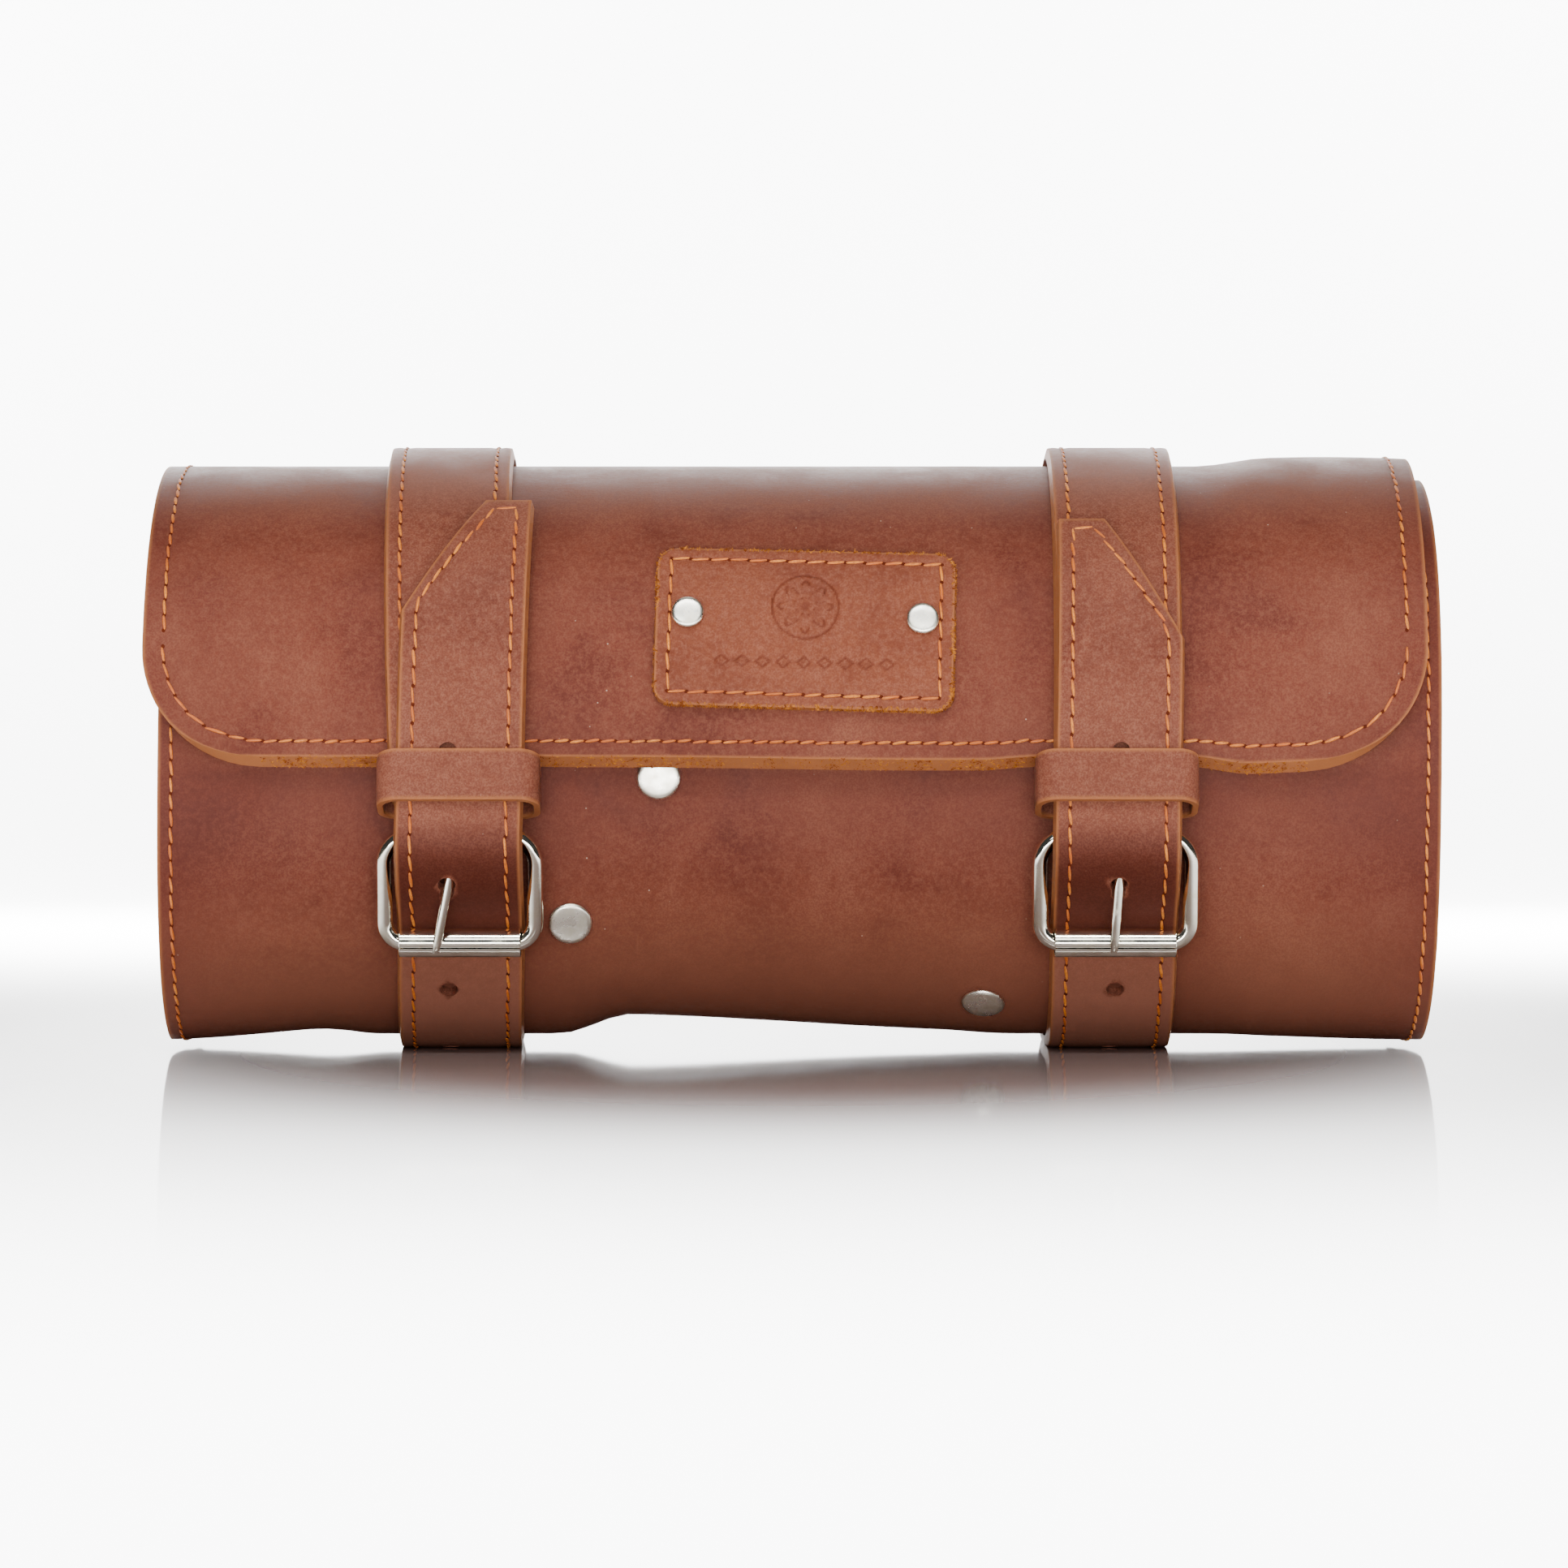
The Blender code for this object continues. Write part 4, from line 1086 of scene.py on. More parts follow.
def patch_place(across, up):
    """Place along the roll and turned angle of a point on the tilted patch."""
    tilt = math.radians(PATCH_TILT)
    x = PATCH_X + across * math.cos(tilt) - up * math.sin(tilt)
    rise = across * math.sin(tilt) + up * math.cos(tilt)
    middle = PATCH_ANGLE - FLAP_EDGE_ANGLE
    first, second = sheet_face(STRAPS[0].x, middle)[0], sheet_face(STRAPS[0].x, middle + 1)[0]
    return x, middle + rise / (second - first).length


ROSETTE_RISE = 4.2 * MM
ROSETTE_RADIUS = 5.6 * MM
PETALS = 8
RULE_RISE = -7.6 * MM
RULE_HALF_LENGTH = 17.0 * MM
TOOLING_DEPTH = 0.30 * MM


def groove(distance, half_width):
    """A tooled line's share of its full depth, at a distance from its middle."""
    return math.exp(-((distance / half_width) ** 4))


def tooling_depth(across, up):
    """How deep the patch is tooled: an eight-petalled flower over a row of lozenges."""
    x, y = across, up - ROSETTE_RISE
    radius, turn = math.hypot(x, y), math.atan2(y, x)
    petal = abs(math.cos(turn * PETALS / 2))
    depth = groove(radius - ROSETTE_RADIUS * (0.30 + 0.70 * petal), 0.32 * MM)
    depth = max(depth, groove(radius, 1.0 * MM) * 0.8)
    depth = max(depth, groove(radius - ROSETTE_RADIUS * 1.22, 0.26 * MM))
    if abs(across) < RULE_HALF_LENGTH + 1.5 * MM:
        step = 4.25 * MM
        near = (across + step / 2) % step - step / 2
        lozenge = abs(near) * 0.8 + abs(up - RULE_RISE)
        depth = max(depth, groove(lozenge - 1.15 * MM, 0.3 * MM))
        depth = max(depth, groove(max(0.0, lozenge), 0.35 * MM) * 0.7)
    return depth


PATCH_COLUMNS = [distance * MM for distance in (0, 0.25, 0.7, 1.2, 1.7, 2.2, 2.7, 3.2, 3.8)]
PATCH_RIM = [PATCH_THICKNESS * share for share in (0, 0.12, 0.4, 0.7, 1.0)]
PATCH_RUBBED = 0.8 * MM
PATCH_EDGE_ZONE = 0.5 * MM
PATCH_EDGE_RAGGED = 0.28 * MM
PATCH_EDGE_FLARE = 0.35 * MM
PATCH_EDGE_ROUNDING = 0.14 * MM
DIMPLE_DEPTH = 0.25 * MM
DIMPLE_RADIUS = 4.6 * MM


def patch_half_widths(up):
    """Half width of the patch at a rise from its middle, with its rounded corners."""
    return rounded_half_width(PATCH_HEIGHT / 2 - abs(up), PATCH_WIDTH / 2, PATCH_CORNER)


def patch_seam_depth(across, up):
    """How deep the patch is pressed by its own seam."""
    near = min(PATCH_WIDTH / 2 - abs(across), PATCH_HEIGHT / 2 - abs(up)) - PATCH_SEAM_INSET
    return seam_groove(near)


def build_patch(leather, edge):
    """The patch, with a ragged raw edge, its tooling and the dimple under each rivet."""
    across = from_edges(PATCH_WIDTH, PATCH_COLUMNS, 150)
    up = from_edges(PATCH_HEIGHT, PATCH_COLUMNS, 76)
    blank = leather_blank("patch_leather", across, up, PATCH_RIM)

    def place(x, rise, depth):
        half = patch_half_widths(rise)
        from_side = PATCH_WIDTH / 2 - abs(x)
        hug = PATCH_COLUMNS[-1]
        side = x * (half - hug) / (PATCH_WIDTH / 2 - hug)
        if from_side < hug:
            side = math.copysign(half - from_side, x)
        near = min(from_side, PATCH_HEIGHT / 2 - abs(rise))
        share = depth / PATCH_THICKNESS
        at_edge = max(0.0, 1 - near / PATCH_EDGE_ZONE)
        ragged = noise.noise(Vector((x, rise, depth)) * 900) * PATCH_EDGE_RAGGED * share
        outwards = (ragged + PATCH_EDGE_FLARE * share) * at_edge
        side += math.copysign(outwards, x)
        level = rise + math.copysign(outwards, rise)
        pressed = patch_seam_depth(x, rise) + TOOLING_DEPTH * tooling_depth(x, rise)
        for rivet in (-1, 1):
            rivet_x = rivet * (PATCH_WIDTH / 2 - PATCH_RIVET_INSET)
            away = math.hypot(x - rivet_x, rise - PATCH_RIVET_RISE)
            pressed += DIMPLE_DEPTH * math.exp(-((away / DIMPLE_RADIUS) ** 4))
        pressed += PATCH_EDGE_ROUNDING * at_edge
        height = CLEAR + PATCH_THICKNESS - depth - (pressed if share < 0.05 else 0.0)
        return sheet_face(*patch_place(side, level), height)[0]

    def marks(x, rise, down):
        near = min(PATCH_WIDTH / 2 - abs(x), PATCH_HEIGHT / 2 - abs(rise))
        return {
            "edge_wear": max(0.0, 1 - near / PATCH_RUBBED),
            "rim_depth": -down / PATCH_THICKNESS,
            "tooled": tooling_depth(x, rise),
        }

    wind(blank, place, marks)
    smooth(blank, 35.0)
    dress(blank, "roll_leather", [leather, edge], "patch")
    return blank


def build_rivet(name, point, normal, radius, height, nickel):
    """A rivet's cap with its rolled rim, on a short post."""
    post = radius * POST_SHARE
    profile = [
        (0.0, height), (radius * 0.25, height * 0.995), (radius * 0.5, height * 0.975),
        (radius * 0.75, height * 0.93), (radius * 0.88, height * 0.86), (radius * 0.95, height * 0.74),
        (radius * 0.99, height * 0.58), (radius, height * 0.42), (radius * 0.98, height * 0.30),
        (radius * 0.9, height * 0.26), (post, height * 0.26), (post, -1.6 * MM), (0.0, -1.6 * MM),
    ]
    across = normal.cross(Vector((0.0, 0.0, 1.0))).normalized()
    out = across.cross(normal).normalized()
    line = [(point + normal * rise, across, out) for _, rise in profile]
    tube(f"{name}_cap", line, lambda row: profile[row][0], 48, False, nickel, "nickel", name)


def rivet_seat(x, turned):
    """Point on the sheet's outer face and the true normal there, also where it is dented."""
    point, outward = sheet_face(x, turned)
    across = sheet_face(x + BODY_CAP_RADIUS, turned)[0] - sheet_face(x - BODY_CAP_RADIUS, turned)[0]
    around = sheet_face(x, turned + 1.0)[0] - sheet_face(x, turned - 1.0)[0]
    normal = across.cross(around).normalized()
    return point, normal if normal.dot(outward) > 0 else -normal


def build_rivets(nickel):
    """The three rivets through the roll and the two through the patch."""
    for rivet in BODY_RIVETS:
        point, normal = rivet_seat(rivet.x_share * ROLL_WIDTH, rivet.angle - FLAP_EDGE_ANGLE + 360)
        build_rivet(rivet.name, point, normal, BODY_CAP_RADIUS, BODY_CAP_HEIGHT, nickel)
    for name, side in (("rivet_patch_left", -1), ("rivet_patch_right", 1)):
        place = patch_place(side * (PATCH_WIDTH / 2 - PATCH_RIVET_INSET), PATCH_RIVET_RISE)
        point, normal = sheet_face(*place, CLEAR + PATCH_THICKNESS - 0.1 * MM)
        build_rivet(name, point, normal, PATCH_CAP_RADIUS, PATCH_CAP_HEIGHT, nickel)


# Sewing

def stitch_shape():
    """One twisted stitch lying along X, as points and faces, a unit long and a unit thick."""
    deselect_all()
    bpy.ops.mesh.primitive_uv_sphere_add(segments=8, ring_count=6, radius=0.5)
    ball = bpy.context.object
    ball.data.transform(Matrix.Rotation(math.pi / 2, 4, "Y"))
    points, faces = [], []
    for vertex in ball.data.vertices:
        x = vertex.co.x
        bulge = (1 - (2 * x) ** 2 * 0.55) / math.sqrt(max(1 - (2 * x) ** 2, 0.05))
        points.append(Vector((x, vertex.co.y * min(bulge, 1.6), vertex.co.z * min(bulge, 1.6))))
    for polygon in ball.data.polygons:
        faces.append(list(polygon.vertices))
    bpy.data.objects.remove(ball)
    return points, faces


def hole_shade_shape():
    """One needle hole's painted shade, as a tiny dark sunk disc, lying in the XY plane, a unit across."""
    points = [Vector((0.0, 0.0, 0.0))]
    for index in range(8):
        turn = 2 * math.pi * index / 8
        points.append(Vector((math.cos(turn) / 2, math.sin(turn) / 2, 0.0)))
    faces = [(0, index + 1, (index + 1) % 8 + 1) for index in range(8)]
    return points, faces


def copies(name, shape, matrices, slot, material):
    """One joined piece made of a copy of a shape at each matrix."""
    points, faces = shape
    all_points, all_faces = [], []
    for matrix in matrices:
        start = len(all_points)
        all_points += [matrix @ point + SHIFT for point in points]
        all_faces += [[start + index for index in face] for face in faces]
    mesh = bpy.data.meshes.new(name)
    mesh.from_pydata([tuple(point) for point in all_points], [], all_faces)
    piece = bpy.data.objects.new(name, mesh)
    bpy.context.scene.collection.objects.link(piece)
    smooth(piece, 60.0)
    dress(piece, slot, [material])
    return piece


def seam(face, route, pitch, sunk, chance):
    """Matrices of the stitches and of the painted shade discs at their needle holes, along a flat route
    on a leather face.

    The route is a list of flat places, face gives the point and normal at one, and sunk is how
    deep the thread has pulled into the leather.
    """
    flat = [Vector(place) for place in route]
    along = lengths_along(flat)
    count = max(1, round(along[-1] / pitch))
    places = []
    for number in range(count + 1):
        distance = along[-1] * number / count
        row = max(index for index, length in enumerate(along) if length <= distance + 1e-9)
        row = min(row, len(flat) - 2)
        share = (distance - along[row]) / (along[row + 1] - along[row])
        places.append(flat[row].lerp(flat[row + 1], share))
    stitches, holes = [], []
    for start, end in zip(places, places[1:]):
        first, normal = face(*start)
        second, _ = face(*end)
        run = second - first
        side = normal.cross(run).normalized()
        slant = (0.70 + 0.25 * chance.uniform(-1, 1)) * THREAD
        x_axis = (run + side * slant).normalized()
        z_axis = x_axis.cross(side).normalized()
        if z_axis.dot(normal) < 0:
            z_axis = -z_axis
        y_axis = z_axis.cross(x_axis).normalized()
        length = run.length * (0.93 + 0.04 * chance.uniform(-1, 1))
        thick = THREAD * (1.0 + 0.12 * chance.uniform(-1, 1))
        matrix = Matrix((x_axis * length, y_axis * thick, z_axis * thick * 0.8)).transposed().to_4x4()
        middle = (first + second) / 2 + side * THREAD * 0.18 * chance.uniform(-1, 1)
        matrix.translation = middle + normal * (thick * 0.20 - sunk)
        stitches.append(matrix)
        # Each needle hole gets a flat dark disc of painted shade, for the shade in its recess.
        hole = Matrix((x_axis * THREAD * 1.5, y_axis * THREAD * 1.25, z_axis)).transposed().to_4x4()
        hole.translation = first + normal * (0.04 * MM - sunk)
        holes.append(hole)
    return stitches, holes


def sheet_seam_face(x, distance):
    """Point and normal on the sheet's grain side for a flat place on its blank."""
    point = sheet_place(x, distance, 0.0)
    _, normal = sheet_face(x, turned_at(min(distance, SHEET_LENGTH)))
    return point, normal


def sheet_seam_routes():
    """The flap's seam round its rounded edge, and the two long seams down the sheet's sides."""
    half = ROLL_WIDTH / 2
    inner = FLAP_CORNER_RADIUS - FLAP_SEAM_INSET
    route = []
    for side in (-1, 1):
        corner = []
        for step in range(13):
            turn = math.pi / 2 * step / 12
            reach = FLAP_CORNER_RADIUS - inner * math.cos(turn)
            x_reach = FLAP_CORNER_RADIUS - inner * math.sin(turn)
            corner.append((x_reach, reach))
        turned = [(side * (half - x_reach), reach) for x_reach, reach in corner]
        route += turned[::-1] if side < 0 else turned
    sides = []
    for side in (-1, 1):
        line = []
        for distance in spread(FLAP_CORNER_RADIUS + STITCH_PITCH, 430 * MM, 90):
            share = min(max((distance - 150 * MM) / (80 * MM), 0.0), 1.0)
            away = FLAP_SEAM_INSET + (BODY_SEAM_INSET - FLAP_SEAM_INSET) * share
            line.append((side * (half - away), distance))
        sides.append(line)
    return [route] + sides


def flat_across(x, distance):
    """Blank's place across for a real place across from the middle, near the rounded corners."""
    half = rounded_half_width(distance, ROLL_WIDTH / 2, FLAP_CORNER_RADIUS)
    limit = ROLL_WIDTH / 2 - SIDE_COLUMNS[-1]
    by_edge = math.copysign(ROLL_WIDTH / 2 - (half - abs(x)), x)
    if abs(by_edge) > limit:
        return by_edge
    return x * (ROLL_WIDTH / 2) / half


def strap_seam_routes(route):
    """A strap's seams as flat places: up one side, round the tip and down the other."""
    start = 8.0 * MM
    grain_inset = STRAP_SEAM_INSET
    left, right = [], []
    corner = route.length - TIP_LENGTH
    for distance in spread(start, corner + 1.5 * MM, 150):
        left.append((-STRAP_WIDTH / 2 + grain_inset, distance))
        right.append((STRAP_WIDTH / 2 - grain_inset, distance))
    end = route.length - STRAP_SEAM_INSET * 0.8
    slanted_left, slanted_right = route.edges(end)
    squeeze = 1.25
    if route.strap.slant < 0:
        left.append((slanted_left + grain_inset * squeeze, end))
        right.append((slanted_right - grain_inset, end))
    else:
        left.append((slanted_left + grain_inset, end))
        right.append((slanted_right - grain_inset * squeeze, end))
    return [left, right, [left[-1], right[-1]]]


def patch_seam_route():
    """The patch's seam as flat places: a rectangle in from its edge."""
    half_width = PATCH_WIDTH / 2 - PATCH_SEAM_INSET
    half_height = PATCH_HEIGHT / 2 - PATCH_SEAM_INSET
    corners = [(-1, -1), (1, -1), (1, 1), (-1, 1), (-1, -1)]
    return [(across * half_width, up * half_height) for across, up in corners]


def sew(routes, thread, hole_shade_discs):
    """All the seams: threads, and discs of painted shade at their needle holes, as a few joined pieces.
    """
    chance = random.Random(7)
    stitch, hole = stitch_shape(), hole_shade_shape()
    jobs = []
    for number, line in enumerate(sheet_seam_routes()):
        flat = [(flat_across(x, distance), distance) for x, distance in line]
        jobs.append((f"roll_seam_{number}", sheet_seam_face, flat, STITCH_PITCH, "roll_leather"))
    for route in routes:
        for number, line in enumerate(strap_seam_routes(route)):
            name = f"strap_seam_{route.strap.side}_{number}"
            jobs.append((name, route.face, line, STRAP_STITCH_PITCH, "strap_leather"))
    sides = patch_seam_route()
    for number, (start, end) in enumerate(zip(sides, sides[1:])):

        def patch_face(across, up):
            return sheet_face(*patch_place(across, up), CLEAR + PATCH_THICKNESS)

        name = f"patch_seam_{number}"
        jobs.append((name, patch_face, [start, end], PATCH_STITCH_PITCH, "roll_leather"))
    for name, face, line, pitch, slot in jobs:
        sunk = 0.0 if name.startswith("roll") else GROOVE_DEPTH * 0.7
        stitches, holes = seam(face, line, pitch, sunk, chance)
        copies(name, stitch, stitches, slot, thread)
        copies(f"{name}_holes", hole, holes, slot, hole_shade_discs)


# Fibres on the raw edges

FIBRE_LENGTH = 1.5 * MM
FIBRE_THICKNESS = 0.30 * MM
FIBRE_ROOT = 0.1 * MM


def fibre_shape():
    """One bent, tapering fibre standing along Z, as points and faces, a unit long."""
    deselect_all()
    bpy.ops.mesh.primitive_cone_add(vertices=3, radius1=0.5, radius2=0.1, depth=1.0, location=(0, 0, 0.5))
    cone = bpy.context.object
    bpy.ops.object.mode_set(mode="EDIT")
    bpy.ops.mesh.select_all(action="SELECT")
    bpy.ops.mesh.bisect(plane_co=(0, 0, 0.35), plane_no=(0, 0, 1))
    bpy.ops.mesh.select_all(action="SELECT")
    bpy.ops.mesh.bisect(plane_co=(0, 0, 0.7), plane_no=(0, 0, 1))
    bpy.ops.object.mode_set(mode="OBJECT")
    points = []
    for vertex in cone.data.vertices:
        bend = vertex.co.z ** 2
        points.append(Vector((vertex.co.x + bend * 0.35, vertex.co.y, vertex.co.z)))
    faces = [list(polygon.vertices) for polygon in cone.data.polygons]
    bpy.data.objects.remove(cone)
    return points, faces


def tufts(rim, count, length, chance):
    """Matrices of fibres scattered along a rim, which gives the point, outward and normal at a share.

    They come in tufts: the noise along the rim says where many stand and where few do.
    """
    matrices = []
    while len(matrices) < count:
        share = chance.random()
        if noise.noise(Vector((share * 60, 3.3, length * 900))) < chance.uniform(-0.6, 0.5):
            continue
        point, outward, normal = rim(share, chance.random())
        aside = outward.cross(normal)
        lean = outward + aside * chance.uniform(-1.3, 1.3) + normal * chance.uniform(-0.7, 0.5)
        z_axis = lean.normalized()
        side = aside * chance.choice((-1, 1)) + normal * chance.uniform(-1, 1)
        x_axis = side.cross(z_axis).normalized()
        y_axis = z_axis.cross(x_axis)
        long = length * chance.uniform(0.35, 1.1)
        thick = FIBRE_THICKNESS * chance.uniform(0.7, 1.4)
        matrix = Matrix((x_axis * thick, y_axis * thick, z_axis * long)).transposed().to_4x4()
        matrix.translation = point - z_axis * FIBRE_ROOT
        matrices.append(matrix)
    return matrices


def sheet_rim(share, depth_share):
    """Point, outward and normal on the flap's lower edge and its rounded corners."""
    across = (share - 0.5) * ROLL_WIDTH
    depth = depth_share * LEATHER
    point = sheet_place(across, 0.0, depth)
    inwards = sheet_place(across, 2.0 * MM, depth)
    _, normal = sheet_face(across, 0.0)
    return point, (point - inwards).normalized(), normal


def patch_rim(share, depth_share):
    """Point, outward and normal on the patch's edge."""
    around = share * 2 * (PATCH_WIDTH + PATCH_HEIGHT)
    width, height = PATCH_WIDTH, PATCH_HEIGHT
    if around < width:
        across, up, side = around - width / 2, -height / 2, (0, -1)
    elif around < width + height:
        across, up, side = width / 2, around - width - height / 2, (1, 0)
    elif around < 2 * width + height:
        across, up, side = 1.5 * width + height - around, height / 2, (0, 1)
    else:
        across, up, side = -width / 2, 2 * width + 1.5 * height - around, (-1, 0)
    short_x = abs(across) - (width / 2 - PATCH_CORNER)
    short_y = abs(up) - (height / 2 - PATCH_CORNER)
    if short_x > 0 and short_y > 0:
        turn = math.atan2(short_y, short_x)
        across = math.copysign(width / 2 - PATCH_CORNER + PATCH_CORNER * math.cos(turn), across)
        up = math.copysign(height / 2 - PATCH_CORNER + PATCH_CORNER * math.sin(turn), up)
        side = (math.copysign(math.cos(turn), across), math.copysign(math.sin(turn), up))
    height_above = CLEAR + PATCH_THICKNESS * (1 - depth_share)
    point, normal = sheet_face(*patch_place(across, up), height_above)
    step = 0.5 * MM
    beyond, _ = sheet_face(*patch_place(across + side[0] * step, up + side[1] * step), height_above)
    return point, (beyond - point).normalized(), normal


def build_fibres(roll_fibre):
    """Loose fibres on the flap's lower edge and on the patch's edge."""
    chance = random.Random(11)
    shape = fibre_shape()
    flap = tufts(sheet_rim, 2600, FIBRE_LENGTH * 0.5, chance)
    copies("flap_fibres", shape, flap, "roll_leather", roll_fibre)
    patch = tufts(patch_rim, 3200, FIBRE_LENGTH, chance)
    copies("patch_fibres", shape, patch, "roll_leather", roll_fibre)


# Materials

def srgb(red, green, blue):
    """A linear colour from display values of 0 to 255."""
    linear = []
    for value in (red, green, blue):
        share = value / 255
        linear.append(share / 12.92 if share <= 0.04045 else ((share + 0.055) / 1.055) ** 2.4)
    return (*linear, 1.0)


def new_material(name):
    """An empty material, with its nodes, its links and its Principled BSDF."""
    material = bpy.data.materials.new(name)
    material.use_nodes = True
    nodes, links = material.node_tree.nodes, material.node_tree.links
    return material, nodes, links, nodes["Principled BSDF"]


def new_group(name, inputs, outputs):
    """A shader node group with named inputs (name, kind, default) and outputs (name, kind)."""
    group = bpy.data.node_groups.new(name, "ShaderNodeTree")
    for label, kind, default in inputs:
        socket = group.interface.new_socket(label, in_out="INPUT", socket_type=kind)
        if default is not None:
            socket.default_value = default
    for label, kind in outputs:
        group.interface.new_socket(label, in_out="OUTPUT", socket_type=kind)
    entry = group.nodes.new("NodeGroupInput")
    leave = group.nodes.new("NodeGroupOutput")
    return group, entry.outputs, leave.inputs


def place_group(nodes, group, **values):
    """A group placed in a material, with some of its inputs set."""
    node = nodes.new("ShaderNodeGroup")
    node.node_tree = group
    for label, value in values.items():
        node.inputs[label.replace("_", " ").capitalize()].default_value = value
    return node


class Wiring:
    """Short ways to add and join nodes in one tree."""

    def __init__(self, tree):
        self.nodes, self.links = tree.nodes, tree.links

    def put(self, socket, value):
        """Joins or sets one input."""
        if isinstance(value, bpy.types.NodeSocket):
            self.links.new(value, socket)
        elif value is not None:
            socket.default_value = value

    def noise(self, vector, scale, detail=4.0, roughness=0.55, distortion=0.0):
        node = self.nodes.new("ShaderNodeTexNoise")
        self.put(node.inputs["Vector"], vector)
        self.put(node.inputs["Scale"], scale)
        node.inputs["Detail"].default_value = detail
        node.inputs["Roughness"].default_value = roughness
        node.inputs["Distortion"].default_value = distortion
        return node.outputs["Fac"]

    def cells(self, vector, scale, feature="F1"):
        node = self.nodes.new("ShaderNodeTexVoronoi")
        node.feature = feature
        self.put(node.inputs["Vector"], vector)
        self.put(node.inputs["Scale"], scale)
        return node.outputs["Distance"]

    def math(self, operation, first, second=None):
        node = self.nodes.new("ShaderNodeMath")
        node.operation = operation
        for socket, value in zip(node.inputs, (first, second)):
            self.put(socket, value)
        return node.outputs[0]

    def ramp(self, value, low, high, to_low=0.0, to_high=1.0):
        node = self.nodes.new("ShaderNodeMapRange")
        node.interpolation_type = "SMOOTHSTEP"
        self.put(node.inputs["Value"], value)
        limits = {"From Min": low, "From Max": high, "To Min": to_low, "To Max": to_high}
        for label, number in limits.items():
            self.put(node.inputs[label], number)
        return node.outputs["Result"]

    def mix(self, share, first, second):
        node = self.nodes.new("ShaderNodeMix")
        node.data_type = "RGBA"
        self.put(node.inputs["Factor"], share)
        self.put(node.inputs[6], first)
        self.put(node.inputs[7], second)
        return node.outputs[2]

    def stretched(self, vector, scale):
        node = self.nodes.new("ShaderNodeMapping")
        self.put(node.inputs["Vector"], vector)
        node.inputs["Scale"].default_value = scale
        return node.outputs["Vector"]


def hide_group():
    """Waxed pull-up leather: cloudy colour, fine grain, pores, faint scratches and dust."""
    inputs = [
        ("Vector", "NodeSocketVector", None),
        ("Colour", "NodeSocketColor", (0.3, 0.1, 0.05, 1)),
        ("Dark", "NodeSocketColor", (0.15, 0.04, 0.02, 1)),
        ("Light", "NodeSocketColor", (0.45, 0.18, 0.1, 1)),
        ("Clouds", "NodeSocketFloat", 0.5),
        ("Dust", "NodeSocketFloat", 0.5),
        ("Pebble", "NodeSocketFloat", 0.3),
    ]
    outputs = [
        ("Colour", "NodeSocketColor"),
        ("Roughness", "NodeSocketFloat"),
        ("Height", "NodeSocketFloat"),
    ]
    group, entry, leave = new_group("pull_up_leather", inputs, outputs)
    w = Wiring(group)
    vector = entry["Vector"]
    clouds = w.noise(vector, 16.0, 5.0, 0.6, 0.4)
    patches = w.noise(vector, 55.0, 5.0, 0.65, 0.8)
    fine = w.noise(vector, 900.0, 3.0, 0.7)
    speckle = w.noise(vector, 2600.0, 2.0, 0.6)
    pebble = w.cells(vector, 1150.0, "SMOOTH_F1")
    wrinkle = w.noise(w.stretched(vector, (1.0, 3.0, 3.0)), 190.0, 6.0, 0.7, 1.5)
    mottled = w.math("ADD", w.math("MULTIPLY", clouds, 0.6), w.math("MULTIPLY", patches, 0.4))
    darker = w.math("MULTIPLY", w.ramp(mottled, 0.52, 0.36), entry["Clouds"])
    lighter = w.math("MULTIPLY", w.ramp(mottled, 0.50, 0.68), entry["Clouds"])
    colour = w.mix(darker, entry["Colour"], entry["Dark"])
    colour = w.mix(lighter, colour, entry["Light"])
    colour = w.mix(w.ramp(fine, 0.38, 0.66, 0.0, 0.38), colour, entry["Light"])
    colour = w.mix(w.ramp(speckle, 0.58, 0.42, 0.0, 0.36), colour, entry["Dark"])
    thin = w.noise(w.stretched(vector, (1.0, 0.12, 0.12)), 420.0, 2.0, 0.5, 0.3)
    across = w.noise(w.stretched(vector, (0.10, 1.0, 1.0)), 380.0, 2.0, 0.5, 0.6)
    sparse = w.ramp(w.noise(vector, 38.0, 2.0), 0.58, 0.72)
    lines = w.math("MAXIMUM", w.ramp(thin, 0.70, 0.76), w.ramp(across, 0.70, 0.76))
    scratch = w.math("MULTIPLY", lines, sparse)
    colour = w.mix(w.math("MULTIPLY", scratch, 0.35), colour, entry["Light"])
    motes = w.ramp(w.cells(vector, 260.0), 0.055, 0.03)
    dusty_places = w.ramp(w.noise(vector, 30.0, 3.0), 0.5, 0.7)
    dusty = w.math("MULTIPLY", motes, w.math("MULTIPLY", dusty_places, entry["Dust"]))
    colour = w.mix(dusty, colour, (0.6, 0.42, 0.32, 1))
    w.put(leave["Colour"], colour)
    rough = w.math("ADD", w.ramp(patches, 0.3, 0.7, 0.40, 0.54), w.ramp(fine, 0.3, 0.7, -0.04, 0.06))
    w.put(leave["Roughness"], rough)
    height = w.math("ADD", w.math("MULTIPLY", fine, 0.35), w.math("MULTIPLY", wrinkle, 0.45))
    height = w.math("ADD", height, w.math("MULTIPLY", pebble, entry["Pebble"]))
    height = w.math("SUBTRACT", height, w.math("MULTIPLY", scratch, 0.25))
    w.put(leave["Height"], height)
    return group


